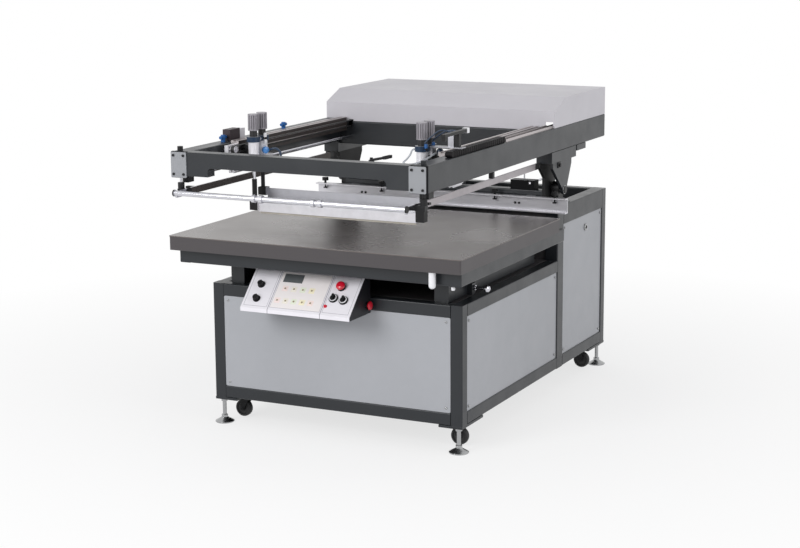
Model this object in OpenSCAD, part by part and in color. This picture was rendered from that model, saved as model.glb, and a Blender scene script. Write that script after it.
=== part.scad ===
// Flatbed screen printer: a swing-up printing head on a rear hinge over a flat
// registration table. Millimetres, +Z up, front of the machine at -Y.
// The origin is on the floor, under the middle of the machine.

/* [Machine] */
// Length from the safety bar's collars to the edge of the rear feet
overall_l = 1964; // [1950:2:1990]
// Width of the base over its posts
base_w = 1100; // [1080:10:1140]
// Length of the base
base_l = 1585; // [1575:5:1600]
// Height of the base's underside over the floor
floor_gap = 110; // [106:2:124]

/* [Base] */
// Length of the low front section, up to the middle posts
front_l = 990; // [985:5:995]
// Height of the front section over the base's underside
front_h = 473; // [465:1:480]
// Height of the rear section over the base's underside
rear_h = 705; // [700:1:708]
// Side of the square frame tube
tube = 50; // [46:1:50]
// Wall of the frame tube
tube_wall = 3; // [2:0.5:5]
// Width of the rear section's posts and top rails
rear_tube_w = 60; // [56:1:62]
// Height of the rear section's top rails
rear_rail_h = 85; // [75:1:90]

/* [Table] */
// Width of the table slab
table_w = 1260; // [1200:10:1300]
// Length of the table slab
table_l = 1000; // [960:10:1010]
// Thickness of the table slab
table_t = 57; // [50:1:60]
// Height of the slab's underside over the base's underside
table_z = 633; // [632:0.5:636]

/* [Head] */
// Width of a head arm
arm_w = 70; // [64:1:74]
// Height of a head arm
arm_h = 100; // [90:2:106]
// Underside of the arms over the base's underside
arm_z = 940; // [936:1:944]
// Overhang of the arms before the base
arm_overhang = 290; // [270:5:300]
// Height of the cover over the arms
cover_h = 120; // [116:1:124]

/* [Printing carriage] */
// Place of the carriage behind the base's front
carriage_y = 70; // [60:5:90]
// Diameter of the guide shafts
guide_d = 14; // [12:1:16]
// Diameter of the piston rods of the print cylinders
piston_d = 12; // [10:1:13]
// Length of the squeegee bar
squeegee_l = 692; // [640:2:696]

/* [Casters and feet] */
// Diameter of a caster wheel
wheel_d = 72; // [64:2:74]
// Width of a caster wheel
wheel_w = 24; // [20:1:26]
// Diameter of a levelling foot
foot_d = 78; // [60:2:84]

/* [Hidden] */
$fn = 48;
rear_y = overall_l / 2 - (foot_d / 2 - 25);
front_y = rear_y - base_l;
half_w = base_w / 2;
gap = 0.3;          // between faces that slide past each other
run = 0.05;         // radial clearance of a running fit

// A place on the machine: distance in from the side, behind the base's front,
// and over the base's underside
function inset(d) = half_w - d;
function back(d) = front_y + d;
function up(d) = floor_gap + d;

// Frame members
mid_post_l = 70;
rear_end = base_l;
mid_end = front_l + mid_post_l;
riser_y = 1000;
sheet = 3;
panel_recess = 2;
rail_top_z = rear_h - rear_rail_h;
table_rail_in = 70;
table_rail_w = 60;
table_rail_y = [30, 900];
pillow_plate_y = [1042, 1138];
pillow_plate_t = 5;

// Casters and feet
caster_in = 76;
caster_back = 119;
caster_trail = 14;
plate_t = 10;
plate_w = 100;
plate_l = 200;
foot_stem_r = 8;
axle_r = 5;
swivel_r = 6;

// Control box: a sheet housing with a panel that leans back at 45 degrees
panel_mid = -77;
panel_w = 478;
panel_toe_y = -176;
panel_toe_z = 427;
panel_len = 192;
panel_lip = 13;
fascia_t = 3;
stem_r = 6;
selector_r = 15;
stop_stem_r = 11;
side_stem_r = 8;
stop_at = [83, 131];
selector_at = [[67, 78], [112, 73]];
speed_at = [[-263, 110], [-259, 44]];
lamp_at = [45, 40];
side_button_at = [-31, 449];

// Table
table_front = -190;
sub_in = -60;
sub_front = -140;
sub_l = 1045;
sub_h = 53;
sub_z = 577;
knob_back = 222;
knob_z = 500;
knob_shaft_r = 6;

// Head
arm_in = 10;
arm_end = 1580;
arm_top = arm_z + arm_h;
arm_wall = 4;
pivot_back = 1090;
pivot_z = 765;
pin_r = 12;
pin_head_r = 15.5;
bracket_t = 12;
block_in = [28, 62];
bracket_z = 893;
swing_y = [938, 1222];
brace_y = [1233, 1340];
hinge_tube_y = [1005, 1055];
hinge_tube_z = [718, 768];
lever_r = 150;
lever_deg = 11;
lift_pin_r = 8;
lift_y = pivot_back + lever_r * cos(lever_deg);
lift_z = pivot_z + lever_r * sin(lever_deg);
lift_rod_r = 10;
cover_y = 965;
front_beam_l = 50;
front_beam_z = 982;
beam_end_z = 948;
rear_beam_y = [955, 1035];
rear_beam_z = [930, 1030];
guide_in = 135;
guide_z = 966;
beam_w = 35;
beam_z = [990, 1048];
clamp_y = [955, 985];
clamp_z = [682, 746];
clamp_half = 595;
knob_x = [-553, -273, 268, 542];

// Carriage
block_in_c = [116, 160];
carriage_z = [938, 985];
cylinder_in = 183;
piston_y = [carriage_y - 33, carriage_y + 33];
holder_in = 168;
holder_top = 827;
blade_top = 796;
blade_t = 3;
piston_r = piston_d / 2;
cylinder_z = 993;
piston_top = 1105;
chain_z = [1041, 1063];
chain_in = [20, 48];
chain_y = [-40, 460];
bridge_t = 4;
post_top = 1117;
belt_in = 132;
belt_z = 1022;
belt_r = 11;
belt_t = 2.5;
belt_w = 16;
idler_back = -30;
drive_back = 1072;

// Safety bar
bar_in = 66;
bar_z = [872, 898];
bar_tube_z = 890;
bar_back = 925;
bar_tube_r = 10;
hanger_in = 34;
hanger_back = -262;
rear_hanger_back = 430;
hanger_r = 5;

// Colours
charcoal = [0.23, 0.24, 0.26];
silver = [0.69, 0.7, 0.72];
pale = [0.8, 0.8, 0.82];
stainless = [0.6, 0.57, 0.56];
chrome = [0.85, 0.85, 0.87];
black = [0.08, 0.08, 0.09];
red = [0.78, 0.05, 0.15];
white = [0.9, 0.9, 0.92];
blue = [0.13, 0.36, 0.63];

// Both sides of the machine
module both_sides() {
    children();
    mirror([1, 0, 0]) children();
}

// A block between limits along X, Y and Z
module block(x, y, z) {
    translate([x[0], y[0], z[0]]) cube([x[1] - x[0], y[1] - y[0], z[1] - z[0]]);
}

// A block on the machine's right side: limits in from the side, behind the
// base's front, and over the base's underside
module side_block(d, y, z) {
    block([inset(d[1]), inset(d[0])], [back(y[0]), back(y[1])], [up(z[0]), up(z[1])]);
}

// A rectangle with round corners, its middle at the origin
module round_rect(w, h, r) {
    square([w - 2 * r, h], center = true);
    square([w, h - 2 * r], center = true);
    for (x = [-1, 1], y = [-1, 1])
        translate([x * (w / 2 - r), y * (h / 2 - r)]) circle(r);
}

// The section of a tube with round edges
module tube_section(w, h, t = tube_wall) {
    difference() {
        round_rect(w, h, 5);
        square([w - 2 * t, h - 2 * t], center = true);
    }
}

// Tubes along X and Y, open at both ends, between limits
module tube_x(x, y, z, t = tube_wall) {
    translate([x[0], (y[0] + y[1]) / 2, (z[0] + z[1]) / 2])
        rotate([90, 0, 90]) linear_extrude(x[1] - x[0]) tube_section(y[1] - y[0], z[1] - z[0], t);
}

module tube_y(x, y, z, t = tube_wall) {
    translate([(x[0] + x[1]) / 2, y[1], (z[0] + z[1]) / 2])
        rotate([90, 0, 0]) linear_extrude(y[1] - y[0]) tube_section(x[1] - x[0], z[1] - z[0], t);
}

// A round bar along each axis, from a start point
module rod_x(at, r, l) {
    translate(at) rotate([0, 90, 0]) cylinder(h = l, r = r);
}

module rod_y(at, r, l) {
    translate(at) rotate([-90, 0, 0]) cylinder(h = l, r = r);
}

module rod_z(at, r, l) {
    translate(at) cylinder(h = l, r = r);
}

// A flat plate of the right side, drawn as an outline in Y and Z
module side_plate(d, outline) {
    translate([inset(d[1]), 0, 0]) rotate([90, 0, 90]) linear_extrude(d[1] - d[0])
        polygon([for (p = outline) [back(p[0]), up(p[1])]]);
}

// Upright posts, closed at the top and open at the foot
module post(w, l, y0, h) {
    x = half_w - w / 2;
    y = back(y0 + l / 2);
    difference() {
        translate([x, y, floor_gap]) linear_extrude(h) round_rect(w, l, 5);
        translate([x, y, floor_gap - 1]) linear_extrude(h - tube_wall + 1)
            square([w - 2 * tube_wall, l - 2 * tube_wall], center = true);
    }
}

module base_posts() {
    color(charcoal) both_sides() {
        post(tube, tube, 0, front_h);
        post(rear_tube_w, mid_post_l, front_l, rear_h);
        post(rear_tube_w, tube, rear_end - tube, rear_h);
    }
}

// Rails along the sides between the posts, and the two high rails that carry
// the table, each with a cap in its front end
module base_rails() {
    table_rail = [table_rail_in, table_rail_in + table_rail_w];
    color(charcoal) both_sides() {
        side_tube([0, tube], [tube, front_l], [0, tube]);
        side_tube([0, tube], [tube, front_l], [front_h - tube, front_h]);
        side_tube([0, tube], [mid_end, rear_end - tube], [0, tube]);
        side_tube([0, rear_tube_w], [mid_end, rear_end - tube], [rail_top_z, rear_h]);
        side_tube(table_rail, table_rail_y, [front_h, sub_z - gap]);
        end_cap(table_rail, table_rail_y[0], [front_h, sub_z - gap]);
    }
}

// Plate let into the front end of a tube of the right side
module end_cap(d, y, z) {
    side_block([d[0] + tube_wall, d[1] - tube_wall], [y, y + tube_wall],
        [z[0] + tube_wall, z[1] - tube_wall]);
}

// Rails across the base, and the one that the lift cylinder stands on
module cross_rails() {
    color(charcoal) {
        cross_tube(tube, [0, tube], [0, tube]);
        cross_tube(tube, [0, tube], [front_h - tube, front_h]);
        cross_tube(rear_tube_w, [riser_y, riser_y + tube], [0, tube]);
        cross_tube(rear_tube_w, [riser_y, riser_y + tube], [rear_h - tube, rear_h]);
        cross_tube(rear_tube_w, [rear_end - tube, rear_end], [0, tube]);
        cross_tube(rear_tube_w, [rear_end - tube, rear_end], [rail_top_z, rear_h]);
        cross_tube(tube, [lift_y - 25, lift_y + 25], [0, tube]);
    }
}

module side_tube(d, y, z, t = tube_wall) {
    tube_y([inset(d[1]), inset(d[0])], [back(y[0]), back(y[1])], [up(z[0]), up(z[1])], t);
}

module cross_tube(d, y, z, t = tube_wall) {
    tube_x([-inset(d), inset(d)], [back(y[0]), back(y[1])], [up(z[0]), up(z[1])], t);
}

// Corner plates under the base for the feet and casters, plates under the
// pillow blocks, and the bearing of the registration knob
module mounting_plates() {
    color(charcoal) {
        both_sides() {
            corner_plate(0, 1);
            corner_plate(rear_end, -1);
            side_block([4, 74], pillow_plate_y, [rear_h, rear_h + pillow_plate_t]);
        }
        difference() {
            side_block([50, table_rail_in], [knob_back - 17, knob_back + 17], [front_h, knob_z + 18]);
            rod_x([inset(80), back(knob_back), up(knob_z)], knob_shaft_r + run, 40);
        }
    }
}

module corner_plate(y, way) {
    far = y + way * plate_l;
    difference() {
        side_block([0, plate_w], [min(y, far), max(y, far)], [-plate_t, 0]);
        rod_z([inset(25), back(y + way * 25), up(-20)], foot_stem_r + run, 40);
        rod_z([inset(caster_in), back(y + way * caster_back), up(-20)], swivel_r + run, 40);
    }
}

// Foot: a flared pad, a neck, a threaded stem and its lock nut
module levelling_foot() {
    rotate_extrude() polygon([
        [0, 0], [foot_d / 2 - 2, 0], [foot_d / 2, 2], [foot_d / 2, 5], [foot_d / 2 - 8, 10],
        [17, 18], [13, 21], [13, 31], [foot_stem_r, 33], [foot_stem_r, floor_gap + 18], [0, floor_gap + 18]
    ]);
    translate([0, 0, floor_gap - plate_t - 12]) cylinder(h = 12, r = 14, $fn = 6);
}

module levelling_feet() {
    color(chrome) both_sides() {
        translate([inset(25), back(25), 0]) levelling_foot();
        translate([inset(25), back(rear_end - 25), 0]) levelling_foot();
    }
}

// Side and end sheets, let into the frame's openings
module panel_sheet(w, h) {
    rotate([90, 0, 0]) linear_extrude(sheet) translate([w / 2, h / 2]) round_rect(w, h, 6);
}

module body_panels() {
    front_z = front_h - 2 * tube;
    rear_z = rail_top_z - tube;
    color(silver) {
        translate([-inset(tube), back(panel_recess + sheet), up(tube)])
            panel_sheet(base_w - 2 * tube, front_z);
        translate([-inset(rear_tube_w), back(rear_end - panel_recess), up(tube)])
            panel_sheet(base_w - 2 * rear_tube_w, rear_z);
        both_sides() {
            translate([inset(panel_recess + sheet), back(tube), up(tube)])
                rotate([0, 0, 90]) panel_sheet_side(front_l - tube, front_z);
            translate([inset(panel_recess + sheet), back(mid_end), up(tube)])
                rotate([0, 0, 90]) panel_sheet_side(rear_end - tube - mid_end, rear_z);
        }
    }
}

module panel_sheet_side(w, h) {
    mirror([0, 1, 0]) panel_sheet(w, h);
}

// Sheet deck over the front section, the riser to the rear section, and the
// floor pan that carries the blower
module base_deck() {
    color([0.3, 0.29, 0.3]) {
        side_to_side(tube, [tube, front_l], [front_h - 3, front_h]);
        side_to_side(rear_tube_w, [front_l, riser_y - sheet], [front_h - 3, front_h]);
        side_to_side(rear_tube_w, [riser_y - sheet, riser_y], [front_h, rear_h]);
        side_to_side(20, [60, 980], [tube, tube + sheet]);
    }
}

module side_to_side(d, y, z) {
    block([-inset(d), inset(d)], [back(y[0]), back(y[1])], [up(z[0]), up(z[1])]);
}

// Hinge blocks on top of the base
module pillow_blocks() {
    r = 28;
    foot = 42;
    z = rear_h + pillow_plate_t;
    color(black) both_sides() difference() {
        union() {
            side_block(block_in, [pivot_back - r, pivot_back + r], [z, pivot_z + 6]);
            side_block(block_in, [pivot_back - foot, pivot_back + foot], [z, z + 14]);
            rod_x([inset(block_in[1]), back(pivot_back), up(pivot_z + 6)], r, block_in[1] - block_in[0]);
        }
        rod_x([inset(70), back(pivot_back), up(pivot_z)], pin_r + run, 60);
    }
}

// Air cylinder that lifts the head, standing on a cross rail
module lift_cylinder() {
    top = 640;
    color(silver) difference() {
        union() {
            translate([0, back(lift_y), up(tube)]) linear_extrude(24) round_rect(80, 50, 6);
            rod_z([0, back(lift_y), up(tube + 24)], 32, top - 60 - tube - 24);
            translate([0, back(lift_y), up(top - 60)]) linear_extrude(46) round_rect(76, 76, 8);
            rod_z([0, back(lift_y), up(top - 14)], 20, 14);
        }
        rod_z([0, back(lift_y), up(top - 200)], lift_rod_r + run, 201);
    }
}

// Blower that draws the table's vacuum: a round housing, its motor and feet
module vacuum_blower() {
    z = tube + sheet;
    color([0.35, 0.36, 0.4]) {
        side_to_side(400, [300, 540], [z, z + 10]);
        rod_x([-60, back(420), up(z + 150)], 140, 110);
        rod_x([50, back(420), up(z + 150)], 75, 100);
        rod_x([-110, back(420), up(z + 150)], 40, 50);
        block([-40, 40], [back(500), back(560)], [up(z + 190), up(z + 250)]);
        block([60, 140], [back(370), back(470)], [up(z + 10), up(z + 90)]);
    }
}

// Places on the leaning panel: x across the machine, s up the slope
module on_panel(x, s, h = 0) {
    translate([x, back(panel_toe_y), up(panel_toe_z)]) rotate([45, 0, 0]) translate([0, s, h]) children();
}

function panel_outline(t) = let (rise = panel_len / sqrt(2)) [
    [panel_toe_y + t, panel_toe_z - panel_lip + t],
    [panel_toe_y + t, panel_toe_z],
    [panel_toe_y + rise, panel_toe_z + rise - (t > 0 ? t * sqrt(2) : 0)],
    [-t, panel_toe_z + rise - (t > 0 ? t * sqrt(2) : 0)],
    [-t, panel_toe_z - panel_lip + t]
];

// Sheet housing of the control panel, open under the fascia
module control_box() {
    color(charcoal) difference() {
        panel_prism(panel_mid - panel_w / 2, panel_w, 0);
        panel_prism(panel_mid - panel_w / 2 + 2, panel_w - 4, 2);
        on_panel(panel_mid - panel_w / 2 + 2, 4, -10) cube([panel_w - 4, panel_len - 8, 20]);
        rod_x([100, back(side_button_at[0]), up(side_button_at[1])], side_stem_r + gap, 100);
    }
}

module panel_prism(x, l, t) {
    translate([x, 0, 0]) rotate([90, 0, 90]) linear_extrude(l)
        polygon([for (p = panel_outline(t)) [back(p[0]), up(p[1])]]);
}

// Fascia plate on the slope, folded down over the box's lip, with grooves
// between its three fields and holes for what is fitted through it
module control_fascia() {
    lip = fascia_t / sqrt(2);
    color(white) difference() {
        union() {
            on_panel(panel_mid - panel_w / 2, 0) cube([panel_w, panel_len, fascia_t]);
            block([panel_mid - panel_w / 2, panel_mid + panel_w / 2],
                [back(panel_toe_y) - lip, back(panel_toe_y)],
                [up(panel_toe_z - panel_lip), up(panel_toe_z) + lip]);
        }
        for (x = [-196, 34])
            on_panel(x - 1, -5, 2) cube([2, panel_len + 10, 2]);
        on_panel(stop_at[0], stop_at[1], -1) cylinder(h = 6, r = stop_stem_r + gap);
        for (p = concat(selector_at, speed_at))
            on_panel(p[0], p[1], -1) cylinder(h = 6, r = stem_r + gap);
    }
}

// Keypad, display, pilot lamp and the fixed collars of the buttons
module panel_fittings() {
    color([0.35, 0.4, 0.42]) on_panel(-176, 132, fascia_t) cube([84, 38, 1.5]);
    color(charcoal) {
        for (i = [0:3])
            key(-161 + i * 39, 96);
        for (i = [0:4])
            key(-176 + i * 36.5, 40);
        on_panel(stop_at[0], stop_at[1], fascia_t) ring(17, stop_stem_r + gap, 4.5);
        rod_x_ring(panel_mid + panel_w / 2, side_button_at, 15, side_stem_r + gap, 5);
    }
    color(chrome) for (p = selector_at)
        on_panel(p[0], p[1], fascia_t) ring(selector_r + 3.5, selector_r + gap, 5);
    color(red) on_panel(lamp_at[0], lamp_at[1], fascia_t) rotate_extrude() polygon([
        [0, 0], [7, 0], [7, 2], [5, 3], [5, 6], [3.5, 8], [0, 9]
    ]);
}

module key(x, s) {
    w = 14;
    on_panel(x, s, fascia_t) linear_extrude(1.5) translate([w / 2, w / 2]) round_rect(w, w, 2);
}

module ring(outer, inner, h) {
    difference() {
        cylinder(h = h, r = outer);
        translate([0, 0, -1]) cylinder(h = h + 2, r = inner);
    }
}

module rod_x_ring(x, at, outer, inner, h) {
    translate([x, back(at[0]), up(at[1])]) rotate([0, 90, 0]) ring(outer, inner, h);
}

// Mushroom head of the stop button, on its stem
module stop_button() {
    color(red) on_panel(stop_at[0], stop_at[1]) rotate_extrude() polygon([
        [0, -18], [stop_stem_r, -18], [stop_stem_r, 13], [18, 14], [18.5, 19], [16, 23], [9, 25.5], [0, 26]
    ]);
}

// Mushroom head of the second stop button, on the box's cheek
module side_button() {
    color(red) translate([panel_mid + panel_w / 2, back(side_button_at[0]), up(side_button_at[1])])
        rotate([0, 90, 0]) rotate_extrude() polygon([
            [0, -16], [side_stem_r, -16], [side_stem_r, 10], [17, 11], [17.5, 15], [15, 18.5],
            [8, 21], [0, 21.5]
        ]);
}

// Selector: a round base with a raised grip across it
module selector(at) {
    color(black) on_panel(at[0], at[1]) {
        translate([0, 0, -15]) cylinder(h = 20, r = stem_r);
        translate([0, 0, fascia_t + gap]) cylinder(h = 9, r = selector_r);
        translate([0, 0, fascia_t + 9]) linear_extrude(9) round_rect(9, 27, 3);
    }
}

// Speed knob: a fluted cap over a skirt, with a pointer rib
module speed_knob(at) {
    flutes = 16;
    cap_r = 11.5;
    color(black) on_panel(at[0], at[1]) {
        translate([0, 0, -15]) cylinder(h = 20, r = stem_r);
        translate([0, 0, fascia_t + gap]) cylinder(h = 4, r = cap_r + 3.5);
        translate([0, 0, fascia_t + 4]) difference() {
            cylinder(h = 14, r = cap_r);
            for (i = [0:flutes - 1])
                rotate((i + 0.5) * 360 / flutes) translate([cap_r + 0.6, 0, -1]) cylinder(h = 16, r = 1.2);
        }
        translate([-1, cap_r - 3, fascia_t + 4]) cube([2, 4, 14.6]);
    }
}

// Swivel fork of a caster: stem through the corner plate, bearing head, two
// legs and the wheel's axle. The wheel trails the stem across the machine.
module caster_fork(side, end) {
    wheel_z = wheel_d / 2 + 4;
    head_top = floor_gap - plate_t - gap;
    head_z = head_top - 14;
    leg = wheel_w / 2 + 2;
    color(silver) caster_place(side, end) {
        rod_z([0, 0, head_top - 1], swivel_r, plate_t + 2 * gap + 9);
        translate([0, 0, head_z]) cylinder(h = 14, r = 21);
        translate([0, 0, floor_gap + gap]) cylinder(h = 8, r = 10, $fn = 6);
        translate([-18, -leg - 4, head_z - 4]) cube([40, 2 * leg + 8, 4.5]);
        for (way = [-1, 1])
            translate([0, way * leg + (way > 0 ? 4 : 0), 0]) rotate([90, 0, 0]) linear_extrude(4) {
                polygon([
                    [-18, head_z], [22, head_z], [caster_trail + 9, wheel_z], [caster_trail - 9, wheel_z]
                ]);
                translate([caster_trail, wheel_z]) circle(9);
            }
        rod_y([caster_trail, -leg - 7, wheel_z], axle_r, 2 * leg + 14);
    }
}

module caster_place(side, end) {
    y = end > 0 ? rear_end - caster_back : caster_back;
    translate([side * inset(caster_in), back(y), 0]) mirror([side < 0 ? 1 : 0, 0, 0]) children();
}

// Caster wheel: tyre with round shoulders, recessed web and a bored hub
module caster_wheel(side, end) {
    r = wheel_d / 2;
    w = wheel_w / 2;
    color(black) caster_place(side, end) translate([caster_trail, 0, r + 4]) rotate([90, 0, 0])
        rotate_extrude() polygon([
            [axle_r + run, -w - 1.5], [11, -w - 1.5], [11, -w + 4], [r - 11, -w + 4], [r - 9, -w],
            [r - 4, -w], [r - 1, -w + 3], [r, -w + 7], [r, w - 7], [r - 1, w - 3], [r - 4, w],
            [r - 9, w], [r - 11, w - 4], [11, w - 4], [11, w + 1.5], [axle_r + run, w + 1.5]
        ]);
}

// Welded frame under the table slab, which slides on the base's high rails
module table_subframe() {
    x = inset(sub_in);
    y = [back(sub_front), back(sub_front + sub_l)];
    z = [up(sub_z), up(sub_z + sub_h)];
    w = 50;
    color(charcoal) {
        both_sides() {
            tube_y([x - w, x], y, z);
            end_cap([sub_in, sub_in + w], sub_front, [sub_z, sub_z + sub_h]);
            tube_y([inset(table_rail_in + table_rail_w), inset(table_rail_in)], [y[0] + w, y[1] - w], z);
        }
        for (at = [y[0], y[1] - w]) {
            tube_x([-x + w, x - w], [at, at + w], z);
        }
        tube_x([-inset(table_rail_in + table_rail_w), inset(table_rail_in + table_rail_w)],
            [back(380), back(380) + w], z);
        both_sides() for (at = [y[0] + 60, y[1] - 260])
            block([x - 48, x - 2], [at, at + 46], [z[1], up(table_z) - gap]);
    }
}

// Vacuum slab: a stainless work face on a honeycomb core, dark at its edge,
// with a rim and rows of suction holes left to its face
module table_top() {
    h = table_t - 4;
    y = back(table_front) + table_l / 2;
    color([0.28, 0.26, 0.26]) translate([0, y, up(table_z)])
        linear_extrude(h) round_rect(table_w - 4, table_l - 4, 6);
    color(stainless) translate([0, y, up(table_z) + h])
        linear_extrude(4) round_rect(table_w, table_l, 8);
}

module table_handle() {
    r = 13.5;
    z = up(table_z) - 51;
    color(white) translate([inset(45), back(table_front + 20), 0]) {
        rod_z([0, 0, z], r, up(table_z) - z);
        translate([0, 0, z]) sphere(r);
    }
}

// Screw that shifts the slab sideways, with its domed knob at the base's side
module registration_knob() {
    color(chrome) translate([0, back(knob_back), up(knob_z)]) {
        rod_x([inset(table_rail_in) + gap, 0, 0], knob_shaft_r, table_rail_in - 1);
        translate([inset(2), 0, 0]) rotate([0, 90, 0]) rotate_extrude() polygon([
            [0, 0], [14, 0], [15, 2], [15, 8], [13.5, 13], [10, 17.5], [5, 20.5], [0, 21.5]
        ]);
        rod_x([inset(50) + gap, 0, 0], 10, 8);
    }
}

// Piston rod of the lift cylinder, with its cross pin in the lever's slots
module lift_rod() {
    low = up(540);
    color(chrome) translate([0, back(lift_y), 0]) {
        rod_z([0, 0, low], lift_rod_r, up(lift_z) - 14 - low);
        translate([0, 0, up(lift_z) - 18]) linear_extrude(36) round_rect(20, 26, 3);
        rod_x([-25, 0, up(lift_z)], lift_pin_r, 50);
    }
}

// Arms of the head: long box tubes, thickened over the hinge
module head_arms() {
    color(charcoal) both_sides() {
        difference() {
            side_tube([arm_in, arm_in + arm_w], [-arm_overhang, arm_end], [arm_z, arm_top], arm_wall);
            rod_z([inset(hanger_in), back(hanger_back), up(arm_z) - 1], hanger_r + 1 + gap, arm_h + 2);
            rod_z([inset(bar_in), back(rear_hanger_back), up(arm_z) - 1], hanger_r + 1 + gap, 20);
        }
        side_block([arm_in, arm_in + arm_w], swing_y, [bracket_z, arm_z]);
        side_block([arm_in, arm_in + arm_w], brace_y, [arm_z - 25, arm_z]);
        side_block([arm_in + arm_wall, arm_in + arm_w - arm_wall], [arm_end - 4, arm_end],
            [arm_z + arm_wall, arm_top - arm_wall]);
    }
}

// Beam across the arms' front ends, deeper where it meets them
module front_beam() {
    w = inset(arm_in + arm_w);
    deep = 92;
    cut = 10;
    color(charcoal) translate([0, back(-arm_overhang + front_beam_l), floor_gap])
        rotate([90, 0, 0]) linear_extrude(front_beam_l) polygon([
            [-w, beam_end_z], [-w + deep, beam_end_z], [-w + deep, front_beam_z - cut],
            [-w + deep + cut, front_beam_z], [w - deep - cut, front_beam_z],
            [w - deep, front_beam_z - cut], [w - deep, beam_end_z], [w, beam_end_z],
            [w, arm_top], [-w, arm_top]
        ]);
}

// Beam across the arms' rear, with a notch for the belt in its top
module rear_beam() {
    color(charcoal) difference() {
        cross_tube(arm_in + arm_w, rear_beam_y, rear_beam_z, arm_wall);
        belt_way([rear_beam_y[0] - 1, rear_beam_y[1] + 1]);
    }
}

// The room that the belt needs where it passes through a piece
module belt_way(y) {
    clear = 3;
    side = belt_w / 2 + clear;
    high = belt_r + belt_t + clear;
    mirror([1, 0, 0]) side_block([belt_in - side, belt_in + side], y, [belt_z - high, belt_z + high - 1]);
}

// Folded sheet cover over the rear of the head, open below, with a notch for
// the chain and a lip down to the rear beam
module head_cover() {
    w = inset(arm_in);
    chamfer = 126;
    rise = cover_h - 49;
    t = sheet;
    notch_y = [cover_y - 5, cover_y + 7];
    outer = [
        [cover_y, arm_top], [cover_y, arm_top + rise], [cover_y + chamfer, arm_top + cover_h],
        [arm_end, arm_top + cover_h], [arm_end, arm_top]
    ];
    inner = [
        [cover_y + t, arm_top - 1], [cover_y + t, arm_top + rise - 2],
        [cover_y + chamfer + 1, arm_top + cover_h - t],
        [arm_end - t, arm_top + cover_h - t], [arm_end - t, arm_top - 1]
    ];
    color(pale) difference() {
        outline_x(-w, 2 * w, outer);
        outline_x(-w + t, 2 * w - 2 * t, inner);
        side_block([chain_in[0] - 3, chain_in[1] + 3], notch_y, [arm_top - 1, chain_z[1] + 3]);
    }
    color(pale) difference() {
        side_to_side(arm_in + arm_w + 1, [cover_y, cover_y + t], [rear_beam_z[1] + gap, arm_top]);
        belt_way(notch_y);
    }
}

// A solid along X from an outline in Y and Z
module outline_x(x, l, outline) {
    translate([x, 0, 0]) rotate([90, 0, 90]) linear_extrude(l)
        polygon([for (p = outline) [back(p[0]), up(p[1])]]);
}

module end_plates() {
    color(pale) both_sides()
        translate([inset(arm_in + arm_w / 2), back(-arm_overhang), up(arm_z + arm_h / 2)])
            rotate([90, 0, 0]) linear_extrude(4) round_rect(arm_w - 2, arm_h - 2, 4);
}

// Plates that hang the arms on the hinge, two under each arm
module swing_brackets() {
    eye = pin_head_r + 4;
    color(charcoal) both_sides() difference() {
        union() {
            for (d = [[arm_in, arm_in + bracket_t], [arm_in + arm_w - bracket_t, arm_in + arm_w]]) {
                side_plate(d, [
                    [950, bracket_z], [1167, bracket_z], [1167, bracket_z - 21],
                    [pivot_back + eye, pivot_z], [pivot_back - eye, pivot_z], [950, bracket_z - 21]
                ]);
                rod_x([inset(d[1]), back(pivot_back), up(pivot_z)], eye, bracket_t);
            }
            side_plate([arm_in + arm_w - bracket_t, arm_in + arm_w], [
                [hinge_tube_y[0], 850], [pivot_back, 850], [pivot_back, pivot_z - eye + 4],
                [hinge_tube_y[1], hinge_tube_z[0]], [hinge_tube_y[0], hinge_tube_z[0]]
            ]);
        }
        rod_x([inset(90), back(pivot_back), up(pivot_z)], pin_r, 90);
    }
}

// Pins of the hinge, fast in the brackets, with a disc head at the outside
module pivot_pins() {
    color(chrome) both_sides() {
        rod_x([inset(arm_in + arm_w + 4), back(pivot_back), up(pivot_z)], pin_r, arm_w + 4);
        rod_x([inset(arm_in), back(pivot_back), up(pivot_z)], pin_head_r, 5);
    }
}

// Cross tube that ties the brackets together, with the lever that the lift
// cylinder pulls down
module hinge_tube() {
    color(charcoal) {
        cross_tube(arm_in + arm_w, hinge_tube_y, hinge_tube_z);
        for (x = [-22, 12]) difference() {
            union() {
                outline_x(x, 10, [
                    [hinge_tube_y[1], hinge_tube_z[0]], [hinge_tube_y[1], hinge_tube_z[1]],
                    [lift_y - 6, lift_z + 18], [lift_y + 6, lift_z - 18]
                ]);
                rod_x([x, back(lift_y), up(lift_z)], 18.5, 10);
            }
            translate([x - 1, back(pivot_back), up(pivot_z)]) rotate([lever_deg, 0, 0]) {
                rod_x([0, lever_r, 0], lift_pin_r + gap, 12);
                rod_x([0, lever_r - 3, 0], lift_pin_r + gap, 12);
                translate([0, lever_r - 3, -lift_pin_r - gap]) cube([12, 3, 2 * (lift_pin_r + gap)]);
            }
        }
    }
}

// Screen clamp: a channel open to the front, held off the hinge tube on lugs
module clamp_rail() {
    t = 5;
    color(pale) {
        difference() {
            block([-clamp_half, clamp_half], [back(clamp_y[0]), back(clamp_y[1])],
                [up(clamp_z[0]), up(clamp_z[1])]);
            block([-clamp_half - 1, clamp_half + 1], [back(clamp_y[0]) - 1, back(clamp_y[1]) - t],
                [up(clamp_z[0]) + t, up(clamp_z[1]) - t]);
            for (x = [-367, 367], dx = [-9, 9])
                rod_y([x + dx, back(clamp_y[1]) - t - 1, up(714)], 3, t + 2);
        }
        for (x = [-420, -140, 140, 420])
            block([x - 20, x + 20], [back(clamp_y[1]), back(hinge_tube_y[0])], [up(720), up(744)]);
    }
}

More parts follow.
